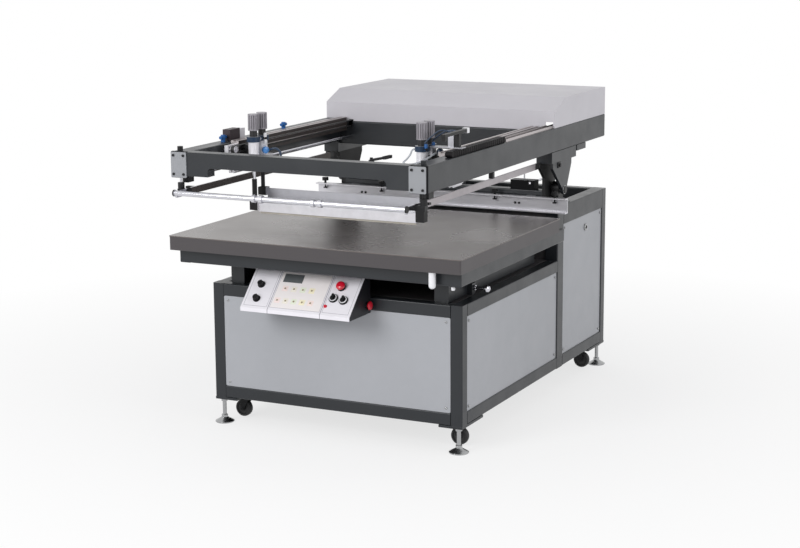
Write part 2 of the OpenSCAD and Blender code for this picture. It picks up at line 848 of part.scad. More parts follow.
// Knobbed bolts of the screen clamp and the screws of the arms' end plates
module head_screws() {
    color(black) {
        for (x = knob_x) {
            rod_z([x, back(clamp_y[0] + 12), up(clamp_z[1])], 5, 14);
            translate([x, back(clamp_y[0] + 12), up(clamp_z[1]) + 12]) cylinder(h = 14, r = 14, $fn = 24);
        }
        both_sides() for (dx = [-22, 22], dz = [-36, 36])
            rod_y([inset(arm_in + arm_w / 2) + dx, back(-arm_overhang) - 8, up(arm_z + arm_h / 2 + dz)],
                5, 4);
    }
}

// Extruded beams that tie the front of the head to the rear beam
module guide_beams() {
    d = [arm_in + arm_w, arm_in + arm_w + beam_w];
    color(pale) both_sides() difference() {
        side_block(d, [35, rear_beam_y[0]], beam_z);
        side_block([d[1] - 4, d[1] + 1], [34, rear_beam_y[0] + 1], [1004, 1012]);
        side_block([d[1] - 4, d[1] + 1], [34, rear_beam_y[0] + 1], [1026, 1034]);
        side_block([d[0] + 12, d[0] + 24], [34, rear_beam_y[0] + 1], [beam_z[1] - 4, beam_z[1] + 1]);
    }
}

module guide_shafts() {
    y = -arm_overhang + front_beam_l;
    color(chrome) both_sides()
        rod_y([inset(guide_in), back(y), up(guide_z)], guide_d / 2, rear_beam_y[0] - y);
}

// Motor on a plate behind the rear beam, under the cover, at the left
module drive_motor() {
    x = -inset(belt_in + belt_w / 2 + 8);
    z = up(belt_z);
    color([0.25, 0.27, 0.3]) difference() {
        union() {
            block([x, x + 8], [back(rear_beam_y[1]), back(drive_back) + 34], [z - 40, z + 40]);
            rod_x([x + 8, back(drive_back), z], 30, 130);
            block([x + 30, x + 90], [back(drive_back) - 18, back(drive_back) + 18], [z + 24, z + 52]);
        }
        rod_x([x - 1, back(drive_back), z], 6 + run, 30);
    }
}

// Toothed pulley of the belt drive, along X, at a place along the belt
module belt_pulley(y, shaft_x, shaft_l, shaft_r) {
    teeth = 14;
    x = -inset(belt_in) - belt_w / 2;
    translate([0, back(y), up(belt_z)]) {
        difference() {
            rod_x([x, 0, 0], belt_r, belt_w);
            for (i = [0:teeth - 1])
                rotate([i * 360 / teeth, 0, 0]) rod_x([x - 1, belt_r, 0], 1.2, belt_w + 2);
        }
        rod_x([x - 2, 0, 0], belt_r + 2, 2);
        rod_x([x + belt_w, 0, 0], belt_r + 2, 2);
        rod_x([shaft_x, 0, 0], shaft_r, shaft_l);
    }
}

module drive_pulley() {
    color(silver) belt_pulley(drive_back, -inset(belt_in) - 10, 45, 6);
}

module belt_idler() {
    color(silver) belt_pulley(idler_back, -inset(108), -inset(belt_in) + 12 + inset(108), 6);
}

// Drive belt: two flat runs and the turns round both pulleys
module drive_belt() {
    x = -inset(belt_in) - belt_w / 2 + 0.5;
    inner = belt_r + gap;
    l = drive_back - idler_back;
    color(black) translate([x, back(idler_back), up(belt_z)]) rotate([90, 0, 90]) linear_extrude(belt_w - 1)
        difference() {
            belt_loop(inner + belt_t, l);
            belt_loop(inner, l);
        }
}

module belt_loop(r, l) {
    circle(r);
    translate([l, 0]) circle(r);
    translate([0, -r]) square([l, 2 * r]);
}

// Valves with their fittings under the arms, the limit switches of the safety
// bar, the valve set on the left arm, and the bearing arm of the idler
module arm_fittings() {
    z = arm_z - 20;
    color(pale) both_sides() {
        side_block([54, 84], [60, 130], [arm_z - 17, arm_z]);
        for (d = [61, 77])
            rod_y([inset(d), back(54), up(z)], 6.5, 64);
    }
    color(blue) both_sides() rod_y([inset(69), back(130), up(arm_z - 9)], 5, 14);
    color(black) both_sides() side_block([26, 50], [-238, -195], [bar_z[1] + 16, arm_z]);
    mirror([1, 0, 0]) arm_valves();
    color(silver) mirror([1, 0, 0]) difference() {
        side_block([98, 114], [idler_back - 14, 35], [belt_z - 15, belt_z + 15]);
        rod_x([inset(130), back(idler_back), up(belt_z)], 6 + run, 60);
    }
}

// Valve set on an arm: a body with its end plate, and two air fittings
module arm_valves() {
    d = [26, 60];
    body_y = [62, 138];
    color([0.25, 0.2, 0.2]) side_block(d, body_y, [arm_top, arm_top + 46]);
    color(pale) side_block([d[0] + 3, d[1] - 3], [body_y[1], body_y[1] + 44], [arm_top, arm_top + 42]);
    for (y = [36, 520]) {
        color(blue) rod_z([inset(43), back(y), up(arm_top)], 9, 28);
        color(blue) rod_y([inset(43), back(y) - 20, up(arm_top + 18)], 6.5, 40);
    }
}

// Block on the hinge tube with the rod that sets how far the head closes
module stop_rod() {
    x = inset(120);
    z = up(799);
    color(black) difference() {
        side_block([116, 225], hinge_tube_y, [hinge_tube_z[1], 808]);
        rod_y([x - 10, back(hinge_tube_y[0]) - 1, z], 5, 60);
    }
    color(chrome) {
        rod_y([x - 10, back(hinge_tube_y[0]) - 14, z], 5, 230);
        rod_z([inset(170), back(1028), up(808)], 3, 26);
    }
    color(black) {
        translate([x - 10, back(hinge_tube_y[1]) + 8, z]) rotate([90, 0, 0]) cylinder(h = 8, r = 9, $fn = 6);
    }
}

// Safety bar: a tube across the front on two side bars, hung from the arms.
// Pushed up, it trips the limit switches.
module safety_bar() {
    tube_y0 = -overall_l / 2 + 15;
    z = up(bar_tube_z);
    x = inset(bar_in) + 3;
    knob_gap = up(arm_top) + gap;
    color(chrome) {
        rod_x([-x, tube_y0, z], bar_tube_r, 2 * x);
        both_sides() {
            block([x - 6, x], [tube_y0, back(bar_back)], [up(bar_z[0]), up(bar_z[1])]);
            rod_z([inset(hanger_in), back(hanger_back), up(bar_z[0])], hanger_r, knob_gap + 4 - up(bar_z[0]));
        }
    }
    color(black) {
        both_sides() {
            for (at = [110, 140])
                translate([at - 7, tube_y0, z]) rotate([0, 90, 0]) ring(15, bar_tube_r, 14);
            translate([x, tube_y0, z]) rotate([0, 90, 0]) cylinder(h = 6, r = 13);
            side_block([hanger_in - 10, bar_in + 8], [hanger_back - 13, hanger_back + 13],
                [bar_z[0] + 3, bar_z[1] - 4]);
            rod_z([inset(hanger_in), back(hanger_back), up(bar_z[1] - 4)], 13, 24);
            rod_z([inset(hanger_in), back(hanger_back), knob_gap], 11, 17);
            side_block([30, bar_in - 3], [-226, -208], [bar_z[1] - 8, bar_z[1]]);
            rod_z([inset(bar_in), back(rear_hanger_back), up(bar_z[1])], 5.5, arm_z + 12 - bar_z[1]);
            side_block([bar_in - 9, bar_in + 9], [rear_hanger_back - 9, rear_hanger_back + 9],
                [bar_z[1], arm_z - 16]);
        }
    }
}

// Hollow beam of the carriage, with the plates that carry the print cylinders
module carriage_beam() {
    color(pale) {
        tube_x([-inset(block_in_c[1]), inset(block_in_c[1])], [back(carriage_y - 25), back(carriage_y + 25)],
            [up(carriage_z[0]), up(carriage_z[1])]);
        both_sides() difference() {
            side_block([160, 214], [carriage_y - 62, carriage_y + 62], [carriage_z[1], cylinder_z]);
            for (y = piston_y)
                rod_z([inset(cylinder_in), back(y), up(carriage_z[1]) - 1], piston_r + run, 10);
        }
    }
}

// Bearing blocks that run on the guide shafts, the left one slotted for the
// belt, with the bridge over the right guide beam that carries the chain's end
// and the post of the air hoses
module bearing_blocks() {
    y = [carriage_y - 42, carriage_y + 42];
    z = [beam_end_z - 10, 1034];
    x = inset(guide_in);
    slot_z = belt_z - belt_r - belt_t - gap;
    color(black) both_sides() difference() {
        union() {
            side_block(block_in_c, y, [z[0], carriage_z[1]]);
            side_block([block_in_c[0], block_in_c[1] - 2], [y[0] + 10, y[1] - 10], [carriage_z[1], z[1]]);
            for (end = [y[0] - 3, y[1]])
                rod_y([x, back(end), up(guide_z)], 13, 3);
        }
        rod_y([x, back(y[0]) - 10, up(guide_z)], guide_d / 2 + run, y[1] - y[0] + 20);
        side_block([belt_in - belt_w / 2 - 2, belt_in + belt_w / 2 + 2], [y[0], y[1]], [slot_z, z[1] + 1]);
    }
    hose_bridge(z[1]);
}

// Bridge from the right bearing block to the chain, and the post on it
module hose_bridge(foot_z) {
    y = [carriage_y - 24, carriage_y + 12];
    deck_z = chain_z[1] + bridge_t;
    color(silver) {
        side_block([144, 156], y, [foot_z, deck_z]);
        side_block([chain_in[0] + 2, 156], y, [chain_z[1], deck_z]);
        side_block([59, 82], [y[0] + 6, y[1] - 6], [deck_z, post_top - 2]);
    }
    color(black) {
        side_block([38, 57], [y[0] + 8, y[1] - 8], [deck_z, post_top]);
        side_block([39, 56], [-66, 128], [post_top, post_top + 11]);
        side_block([40, 55], [-62, -50], [post_top - 14, post_top]);
    }
    color(white) side_block([37, 58], [128, 150], [post_top - 5, post_top + 15]);
}

// Print cylinders: barrel, blue ported collar and a fluted adjuster on top.
// The front pair moves the squeegee and the rear pair the flood bar.
module print_cylinders() {
    both_sides() for (y = piston_y)
        translate([inset(cylinder_in), back(y), up(cylinder_z)]) print_cylinder();
}

module print_cylinder() {
    flutes = 14;
    barrel_h = 54;
    flange_h = 21;
    neck_h = 24;
    cap_h = 65;
    cap_r = 21;
    cap_z = barrel_h + flange_h + neck_h;
    difference() {
        union() {
            color(pale) cylinder(h = barrel_h, r = 21);
            color(blue) translate([0, 0, barrel_h]) cylinder(h = flange_h, r = 27);
            color(black) translate([0, 0, barrel_h + flange_h]) cylinder(h = neck_h, r = 15);
            color(silver) translate([0, 0, cap_z]) difference() {
                cylinder(h = cap_h, r = cap_r);
                for (i = [0:flutes - 1])
                    rotate(i * 360 / flutes) translate([cap_r + 1, 0, 5]) cylinder(h = cap_h - 10, r = 2.8);
            }
        }
        translate([0, 0, -1]) cylinder(h = cap_z + 20, r = piston_r + run);
    }
}

// Energy chain: the run from the carriage's bridge along the arm's top, a row
// of links with side plates over a slim core, round at the front where it bends
module energy_chain() {
    pitch = 20;
    plate_l = 16;
    mid_z = (chain_z[0] + chain_z[1]) / 2;
    r = (chain_z[1] - chain_z[0]) / 2;
    color(black) {
        side_block([chain_in[0] + 3, chain_in[1] - 3], chain_y, [chain_z[0] + 2, chain_z[1] - 2]);
        rod_x([inset(chain_in[1]), back(chain_y[0]), up(mid_z)], r, chain_in[1] - chain_in[0]);
        for (y = [chain_y[0]:pitch:chain_y[1] - pitch])
            side_block(chain_in, [y, y + plate_l], chain_z);
    }
}

// Squeegee holder: an aluminium clamp bar between two end blocks
module squeegee_holder() {
    y = piston_y[0];
    x = [-squeegee_l / 2, squeegee_l / 2];
    color(pale) {
        block(x, [back(y) - 8, back(y) - blade_t / 2], [up(772), up(808)]);
        block(x, [back(y) + blade_t / 2, back(y) + 8], [up(772), up(808)]);
        block(x, [back(y) - 8, back(y) + 8], [up(blade_top), up(808)]);
        for (at = [-300:120:300])
            rod_y([at, back(y) + 8, up(786)], 5, 4);
    }
    color(black) both_sides()
        block([squeegee_l / 2, inset(holder_in)], [back(y) - 16, back(y) + 16], [up(777), up(holder_top)]);
}

module squeegee_rods() {
    print_rods(piston_y[0], holder_top, 900, 10);
}

// Two piston rods with a sleeve over their lower ends
module print_rods(y, z0, z1, sleeve_r) {
    both_sides() {
        color(chrome) rod_z([inset(cylinder_in), back(y), up(z0)], piston_r, piston_top - z0);
        color(black) rod_z([inset(cylinder_in), back(y), up(z0)], sleeve_r, z1 - z0);
    }
}

module squeegee_blade() {
    y = back(piston_y[0]);
    x = squeegee_l / 2 - 4;
    color([0.7, 0.68, 0.62])
        block([-x, x], [y - blade_t / 2, y + blade_t / 2], [up(764), up(blade_top)]);
}

// Flood bar: a thin spreader with its edge bent forward, on its own rods
module flood_bar() {
    y = piston_y[1];
    color(silver) translate([-squeegee_l / 2, 0, 0]) rotate([90, 0, 90]) linear_extrude(squeegee_l) polygon([
        [back(y - 8), up(795)], [back(y - 6), up(794)], [back(y + 2), up(806)], [back(y + 2), up(856)],
        [back(y - 1), up(856)], [back(y - 1), up(807)]
    ]);
    color(black) both_sides()
        block([squeegee_l / 2, inset(holder_in)], [back(y) - 15, back(y) + 15], [up(828), up(860)]);
    print_rods(y, 860, 925, 8);
}

// Hand lever on the carriage that locks the stroke
module clamp_lever() {
    color(black) translate([136, back(carriage_y), up(carriage_z[1]) + gap]) {
        cylinder(h = 12, r = 11);
        translate([0, 0, 8]) hull() {
            cylinder(h = 8, r = 7, $fn = 32);
            translate([56, 0, 12]) cylinder(h = 8, r = 6, $fn = 32);
        }
        translate([56, 0, 18]) hull() {
            cylinder(h = 11, r = 8, $fn = 32);
            translate([26, 0, 7]) cylinder(h = 11, r = 7, $fn = 32);
        }
        cylinder(h = 22, r = 6);
    }
}

base_posts();
base_rails();
cross_rails();
mounting_plates();
levelling_feet();
body_panels();
base_deck();
pillow_blocks();
lift_cylinder();
vacuum_blower();
control_box();
control_fascia();
panel_fittings();
stop_button();
side_button();
selector(selector_at[0]);  // selector_left
selector(selector_at[1]);  // selector_right
speed_knob(speed_at[0]);  // speed_knob_upper
speed_knob(speed_at[1]);  // speed_knob_lower
caster_fork(-1, -1);  // caster_fork_front_left
caster_fork(1, -1);  // caster_fork_front_right
caster_fork(-1, 1);  // caster_fork_rear_left
caster_fork(1, 1);  // caster_fork_rear_right
caster_wheel(-1, -1);  // caster_wheel_front_left
caster_wheel(1, -1);  // caster_wheel_front_right
caster_wheel(-1, 1);  // caster_wheel_rear_left
caster_wheel(1, 1);  // caster_wheel_rear_right
table_subframe();
table_top();
table_handle();
registration_knob();
lift_rod();
head_arms();
front_beam();
rear_beam();
head_cover();
end_plates();
swing_brackets();
pivot_pins();
hinge_tube();
clamp_rail();
head_screws();
guide_beams();
guide_shafts();
drive_motor();
drive_pulley();
belt_idler();
drive_belt();
arm_fittings();
stop_rod();
safety_bar();
carriage_beam();
bearing_blocks();
print_cylinders();
energy_chain();
squeegee_holder();
squeegee_rods();
squeegee_blade();
flood_bar();
clamp_lever();
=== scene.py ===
import math
from collections import namedtuple

import bmesh
import bpy
from mathutils import Matrix, Vector


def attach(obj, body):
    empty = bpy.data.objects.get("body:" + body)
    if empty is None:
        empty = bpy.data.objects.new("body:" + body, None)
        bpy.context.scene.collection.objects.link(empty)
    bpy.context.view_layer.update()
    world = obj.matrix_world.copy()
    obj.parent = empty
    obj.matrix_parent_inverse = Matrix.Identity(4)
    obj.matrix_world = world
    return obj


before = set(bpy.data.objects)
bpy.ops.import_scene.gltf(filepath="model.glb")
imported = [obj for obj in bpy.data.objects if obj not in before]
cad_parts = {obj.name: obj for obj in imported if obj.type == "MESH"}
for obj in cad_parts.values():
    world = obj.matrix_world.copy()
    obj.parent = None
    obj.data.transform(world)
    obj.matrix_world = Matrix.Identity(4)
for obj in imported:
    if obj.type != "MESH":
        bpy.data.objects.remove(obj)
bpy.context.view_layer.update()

# Driving places of the machine, in metres, as in the solid model
BASE_W = 1.100
BASE_L = 1.585
OVERALL_L = 1.964
FLOOR_GAP = 0.110
FEET_OVERHANG = 0.014
FRONT_Y = OVERALL_L / 2 - FEET_OVERHANG - BASE_L


def inset(d):
    """x of a place on the right side, d millimetres in from the base's side."""
    return BASE_W / 2 - d / 1000


def back(d):
    """y of a place d millimetres behind the base's front."""
    return FRONT_Y + d / 1000


def up(d):
    """z of a place d millimetres over the base's underside."""
    return FLOOR_GAP + d / 1000


# Places that several pieces share, in millimetres for the functions above
ARM_INSET = 10
ARM_FRONT = -290
ARM_LOW = 940
ARM_TOP = 1040
PIVOT_BACK = 1090
PIVOT_UP = 765
CYLINDER_IN = 183
CYLINDERS = (37, 103)
CAP_FLUTES = 14

# Control panel: it leans back at 45 degrees from its toe
PANEL_TOE_Y = back(-176)
PANEL_TOE_Z = up(427)
PANEL_MID = -0.077
PANEL_W = 0.478
HALF_ROOT = math.sqrt(0.5)
PANEL_RISE = Vector((0, HALF_ROOT, HALF_ROOT))
PANEL_OUT = Vector((0, -HALF_ROOT, HALF_ROOT))


def slope(x, s, h):
    """A place on the leaning panel: x across, s up the slope and h out of it, in millimetres."""
    foot = Vector((x / 1000, PANEL_TOE_Y, PANEL_TOE_Z))
    return foot + PANEL_RISE * s / 1000 + PANEL_OUT * h / 1000


# Camera: the photograph's view, solved from its vanishing directions
PHOTO_W = 800
SENSOR_W = 36
FOCAL_PX = 1810.56
YAW = math.radians(-26.1445)
PITCH = math.radians(11.3324)
ROLL = math.radians(-0.3758)
CAMERA_AT = (3.27513, -6.69880, 2.04428)


def make_camera():
    """Places the camera by its turn, tilt and roll, with the focal length in pixels."""
    level = math.cos(PITCH)
    forward = Vector((math.sin(YAW) * level, math.cos(YAW) * level, -math.sin(PITCH)))
    right = Vector((math.cos(YAW), -math.sin(YAW), 0))
    upward = right.cross(forward)
    tilted_right = right * math.cos(ROLL) + upward * math.sin(ROLL)
    tilted_up = upward * math.cos(ROLL) - right * math.sin(ROLL)
    data = bpy.data.cameras.new("camera")
    data.sensor_width = SENSOR_W
    data.lens = FOCAL_PX * SENSOR_W / PHOTO_W
    camera = bpy.data.objects.new("camera", data)
    turn = Matrix((tilted_right, tilted_up, -forward)).transposed().to_4x4()
    camera.matrix_world = Matrix.Translation(CAMERA_AT) @ turn
    bpy.context.collection.objects.link(camera)
    bpy.context.scene.camera = camera


# Finishes
def rgb(r, g, b):
    """A colour given as screen values of 0 to 255, in linear light."""
    return tuple(c / 255 / 12.92 if c < 11 else ((c / 255 + 0.055) / 1.055) ** 2.4
                 for c in (r, g, b))


Finish = namedtuple("Finish", "colour rough metal")


def shade(r, g, b, rough, metal=0):
    """A finish from screen values, roughness and how far it is metal."""
    return Finish(rgb(r, g, b), rough, metal)


BLACK = shade(20, 20, 22, 0.44)
# Near-black painted shade for the swing brackets' inner faces
PAINTED_BRACKET_SHADE = shade(14, 14, 16, 0.6)
CHARCOAL = shade(34, 37, 41, 0.34)
DARK = shade(58, 48, 52, 0.45)
BLUE = shade(34, 92, 156, 0.34)
NAVY = shade(16, 42, 68, 0.36)
RED = shade(200, 14, 42, 0.3)
WHITE = shade(230, 230, 234, 0.32)
CHROME = shade(206, 206, 212, 0.14, 1)
STEEL = shade(166, 167, 168, 0.26, 1)
SILVER = shade(176, 176, 182, 0.34, 0.8)
PALE_METAL = shade(230, 229, 234, 0.34, 0.3)
DULL_METAL = shade(168, 163, 166, 0.42, 0.75)
GREY_CAP = shade(146, 143, 149, 0.4, 0.55)
# Painted shade and dark reflection for the inner faces of the guide beams and of the safety bar's
# side bars
PAINTED_INNER_SHADE = shade(72, 66, 64, 0.42, 0.3)

# Materials: the noise's usual range, bump and edges, and the mix node's colour sockets
NOISE_LOW = 0.3
NOISE_HIGH = 0.7
BUMP_STRENGTH = 0.6
BEVEL_SAMPLES = 4
FINE_EDGE = 0.0006
MIX_A, MIX_B, MIX_RESULT = 6, 7, 2


class Surface:
    """A node material: colour with uneven tone, roughness with wear, bump over softened edges."""

    def __init__(self, name, finish, coat=0.0, specular=0.5, edge=0.0008):
        self.material = bpy.data.materials.new(name)
        self.material.use_nodes = True
        self.tree = self.material.node_tree
        self.nodes = self.tree.nodes
        self.shader = self.nodes["Principled BSDF"]
        self.shader.inputs["Metallic"].default_value = finish.metal
        self.shader.inputs["Coat Weight"].default_value = coat
        self.shader.inputs["Specular IOR Level"].default_value = specular
        self.coords = self.nodes.new("ShaderNodeTexCoord").outputs["Object"]
        self.parts = self.nodes.new("ShaderNodeSeparateXYZ")
        self.link(self.coords, self.parts.inputs[0])
        self.colour = self.constant(finish.colour)
        self.rough = self.number(finish.rough)
        self.metal = None
        self.plain_metal = finish.metal
        self.bump = None
        self.edge = edge

    def link(self, a, b):
        self.tree.links.new(a, b)

    def constant(self, colour):
        node = self.nodes.new("ShaderNodeRGB")
        node.outputs[0].default_value = (*colour, 1)
        return node.outputs[0]

    def number(self, value):
        node = self.nodes.new("ShaderNodeValue")
        node.outputs[0].default_value = value
        return node.outputs[0]

    def math(self, operation, *values):
        node = self.nodes.new("ShaderNodeMath")
        node.operation = operation
        for socket, value in zip(node.inputs, values):
            if isinstance(value, (int, float)):
                socket.default_value = value
            else:
                self.link(value, socket)
        return node.outputs[0]

    def noise(self, scale, stretch=(1, 1, 1), detail=4, roughness=0.55):
        mapping = self.nodes.new("ShaderNodeMapping")
        mapping.inputs["Scale"].default_value = stretch
        self.link(self.coords, mapping.inputs["Vector"])
        node = self.nodes.new("ShaderNodeTexNoise")
        node.inputs["Scale"].default_value = scale
        node.inputs["Detail"].default_value = detail
        node.inputs["Roughness"].default_value = roughness
        self.link(mapping.outputs[0], node.inputs["Vector"])
        return node.outputs["Fac"]

    def ramp(self, value, low, high, out_low=0.0, out_high=1.0):
        node = self.nodes.new("ShaderNodeMapRange")
        node.inputs["From Min"].default_value = low
        node.inputs["From Max"].default_value = high
        node.inputs["To Min"].default_value = out_low
        node.inputs["To Max"].default_value = out_high
        self.link(value, node.inputs["Value"])
        return node.outputs[0]

    def mix(self, factor, a, b, mode="MIX"):
        node = self.nodes.new("ShaderNodeMix")
        node.data_type = "RGBA"
        node.blend_type = mode
        if isinstance(factor, (int, float)):
            node.inputs["Factor"].default_value = factor
        else:
            self.link(factor, node.inputs["Factor"])
        self.link(a, node.inputs[MIX_A])
        self.link(b, node.inputs[MIX_B])
        return node.outputs[MIX_RESULT]

    def place(self, axis):
        """X, Y, Z, the distance S from the middle plane, or the distance P up the control panel."""
        if axis == "S":
            return self.math("ABSOLUTE", self.parts.outputs[0])
        if axis == "P":
            run = self.math("ADD", self.parts.outputs[1], self.parts.outputs[2])
            toe = (PANEL_TOE_Y + PANEL_TOE_Z) * HALF_ROOT
            return self.math("MULTIPLY_ADD", run, HALF_ROOT, -toe)
        return self.parts.outputs["XYZ".index(axis)]

    def inside(self, soft=0.0003, **limits):
        """1 where the place lies between the limits given for each axis, in metres."""
        mask = None
        for axis, (low, high) in limits.items():
            value = self.place(axis)
            rise = self.ramp(value, low - soft, low + soft)
            fall = self.ramp(value, high - soft, high + soft, 1, 0)
            both = self.math("MULTIPLY", rise, fall)
            mask = both if mask is None else self.math("MULTIPLY", mask, both)
        return mask

    def zone(self, finish, **limits):
        """Gives the part of the surface between the limits another finish."""
        mask = self.inside(**limits)
        self.tint(mask, finish.colour)
        self.rough = self.blend(mask, self.rough, finish.rough)
        if self.metal is None and finish.metal != self.plain_metal:
            self.metal = self.number(self.plain_metal)
        if self.metal is not None:
            self.metal = self.blend(mask, self.metal, finish.metal)

    def blend(self, mask, value, other):
        """The value where the mask is 0 and the other where it is 1."""
        return self.math("MULTIPLY_ADD", mask, self.math("SUBTRACT", other, value), value)

    def tint(self, factor, colour):
        self.colour = self.mix(factor, self.colour, self.constant(colour))

    def from_row(self, axis, pitch):
        """The distance along an axis from the nearest point of a row with the pitch."""
        turns = self.math("MULTIPLY", self.place(axis), 1 / pitch)
        part = self.math("SUBTRACT", turns, self.math("ROUND", turns))
        return self.math("MULTIPLY", part, pitch)

    def uneven(self, scale, dark, light, stretch=(1, 1, 1)):
        """Shifts the tone between dark and light times the colour, in soft patches."""
        level = self.ramp(self.noise(scale, stretch), NOISE_LOW, NOISE_HIGH, dark, light)
        tone = self.nodes.new("ShaderNodeCombineColor")
        for socket in tone.inputs:
            self.link(level, socket)
        self.colour = self.mix(1.0, self.colour, tone.outputs[0], "MULTIPLY")

    def grain(self, scale, depth, stretch=(1, 1, 1), detail=3):
        """Adds bump from a noise, depth in metres, over edges softened by a bevel."""
        node = self.nodes.new("ShaderNodeBump")
        node.inputs["Distance"].default_value = depth
        node.inputs["Strength"].default_value = BUMP_STRENGTH
        self.link(self.noise(scale, stretch, detail), node.inputs["Height"])
        bevel = self.nodes.new("ShaderNodeBevel")
        bevel.samples = BEVEL_SAMPLES
        bevel.inputs["Radius"].default_value = self.edge
        self.link(bevel.outputs[0], node.inputs["Normal"])
        self.bump = node.outputs[0]

    def done(self, spread=0.06, wear_scale=9):
        """Joins what was built to the shader, with the roughness worn up and down by the spread."""
        self.link(self.colour, self.shader.inputs["Base Color"])
        wear = self.ramp(self.noise(wear_scale), NOISE_LOW, NOISE_HIGH, -spread, spread)
        self.link(self.math("ADD", self.rough, wear), self.shader.inputs["Roughness"])
        if self.metal is not None:
            self.link(self.metal, self.shader.inputs["Metallic"])
        if self.bump is not None:
            self.link(self.bump, self.shader.inputs["Normal"])
        return self.material


def powder_coat(name, colour, rough=0.34, specular=0.42):
    s = Surface(name, Finish(colour, rough, 0), specular=specular, edge=0.0014)
    s.uneven(2.5, 0.93, 1.07)
    s.uneven(60, 0.98, 1.02)
    s.grain(900, 0.00012)
    return s.done()


def sheet_enamel(name, colour, rough=0.4):
    s = Surface(name, Finish(colour, rough, 0), specular=0.35)
    s.uneven(1.3, 0.955, 1.045, (1, 1, 0.6))
    s.uneven(30, 0.99, 1.01)
    s.grain(520, 0.00005)
    return s.done()


def bright_metal(name, finish, stretch=(1, 1, 1)):
    s = Surface(name, finish)
    s.uneven(4, 0.94, 1.06)
    s.uneven(300, 0.94, 1.05, stretch)
    s.grain(700, 0.00004, stretch)
    return s.done(0.05)


def moulded(name, finish, grain=0.00008, coat=0.0, specular=0.5):
    s = Surface(name, finish, coat=coat, specular=specular, edge=FINE_EDGE)
    s.uneven(20, 0.94, 1.06)
    s.grain(1400, grain)
    return s.done()


def small_parts(s):
    """Tone, grain and wear of the small fitted pieces, over the zones that a surface has."""
    s.uneven(25, 0.94, 1.06)
    s.grain(1100, 0.00005)
    return s.done(0.04)


def zoned(name, finish, zones, specular=0.3):
    """A node of several finishes: each zone is a finish and its limits."""
    s = Surface(name, finish, specular=specular, edge=FINE_EDGE)
    for other, limits in zones:
        s.zone(other, **limits)
    return small_parts(s)


# Limits of zones, from places in millimetres
FAR = 9.0
LEFT = (-FAR, 0)
RIGHT = (0, FAR)


def y_from(low, high):
    """Between two distances behind the base's front."""
    return back(low), back(high)


def z_from(low, high):
    """Between two heights over the base's underside."""
    return up(low), up(high)


def above(d):
    """From d millimetres over the base's underside upward."""
    return up(d), FAR


def below(d):
    """From the floor to d millimetres over the base's underside."""
    return 0, up(d)


def outside(d):
    """From d millimetres in to beyond the machine's side."""
    return inset(d), FAR


def within(d):
    """From the middle plane to d millimetres in from the side."""
    return 0, inset(d)


# Print cylinders: heights where their bands and the painted shade of the cap's flutes begin and
# end, and how dark that shade is
COLLAR_Z = 1047
NECK_Z = 1068
CAP_Z = 1092
FLUTES_Z = (1097, 1152)
FLUTE_SHADE = 0.72


def cylinder_finish():
    """Pale barrel, navy collar, black neck and a grey cap with painted shade in stripes for its
    flutes.
    """
    s = Surface("print_cylinder", PALE_METAL, edge=FINE_EDGE)
    s.zone(NAVY, Z=z_from(COLLAR_Z, NECK_Z))
    s.zone(BLACK, Z=z_from(NECK_Z, CAP_Z))
    s.zone(GREY_CAP, Z=above(CAP_Z))
    across = s.math("SUBTRACT", s.place("S"), inset(CYLINDER_IN))
    off_middle = s.math("ABSOLUTE", s.math("SUBTRACT", s.place("Y"), back(sum(CYLINDERS) / 2)))
    along = s.math("SUBTRACT", off_middle, (CYLINDERS[1] - CYLINDERS[0]) / 2000)
    # Painted shade: dark stripes round the cap, by angle, stand for the shade in its flutes
    turn = s.math("MULTIPLY", s.math("ARCTAN2", along, across), CAP_FLUTES)
    groove = s.ramp(s.math("COSINE", turn), 0.1, 0.9, 0, FLUTE_SHADE)
    s.tint(s.math("MULTIPLY", groove, s.inside(Z=z_from(*FLUTES_Z))), rgb(58, 55, 60))
    return small_parts(s)


# Safety bar: the top and the rear end of its side bars
BAR_TOP = 898
BAR_END = 940
OVER_BAR = BAR_TOP + 0.2


def safety_bar_zones():
    """Black hangers and end pieces, and dull side bars with painted shade on their inner faces, on
    chrome.
    """
    hanger = y_from(-276, -248)
    bars = outside(76)
    inner_face = (inset(70.5), inset(68.6))
    return [
        (BLACK, {"Y": hanger, "Z": below(919)}),
        (BLACK, {"Y": hanger, "Z": above(ARM_TOP)}),
        (BLACK, {"X": RIGHT, "Y": hanger, "Z": below(ARM_LOW + 1)}),
        (CHARCOAL, {"X": RIGHT, "Y": hanger, "Z": above(ARM_TOP)}),
        (BLACK, {"Y": y_from(-227, -207), "S": outside(62)}),
        (BLACK, {"Y": y_from(420, 440), "Z": above(OVER_BAR)}),
        (BLACK, {"S": outside(62.8), "Y": (-FAR, back(-330))}),
        (DULL_METAL, {"S": bars, "Y": y_from(-207, BAR_END), "Z": below(OVER_BAR)}),
        # Painted shade and dark reflection on a thin band of each side bar's inner face
        (PAINTED_INNER_SHADE, {"S": inner_face, "Y": y_from(-248, BAR_END), "Z": below(BAR_TOP - 0.4)}),
        (BLACK, {"S": bars, "Y": y_from(885, BAR_END), "Z": below(OVER_BAR)}),
    ]


def arm_fitting_zones():
    """Blue ports and black stops under the arms; a dark valve and blue knobs on the left arm."""
    return [
        (BLUE, {"Y": y_from(130.2, 146), "Z": below(ARM_LOW - 2)}),
        (BLACK, {"Y": y_from(-239, -194), "Z": below(ARM_LOW + 1)}),
        (DARK, {"X": LEFT, "Y": y_from(61, 138), "Z": above(ARM_TOP)}),
        (BLUE, {"X": LEFT, "Y": y_from(10, 57), "Z": above(ARM_TOP)}),
        (BLUE, {"X": LEFT, "Y": y_from(490, 550), "Z": above(ARM_TOP)}),
    ]


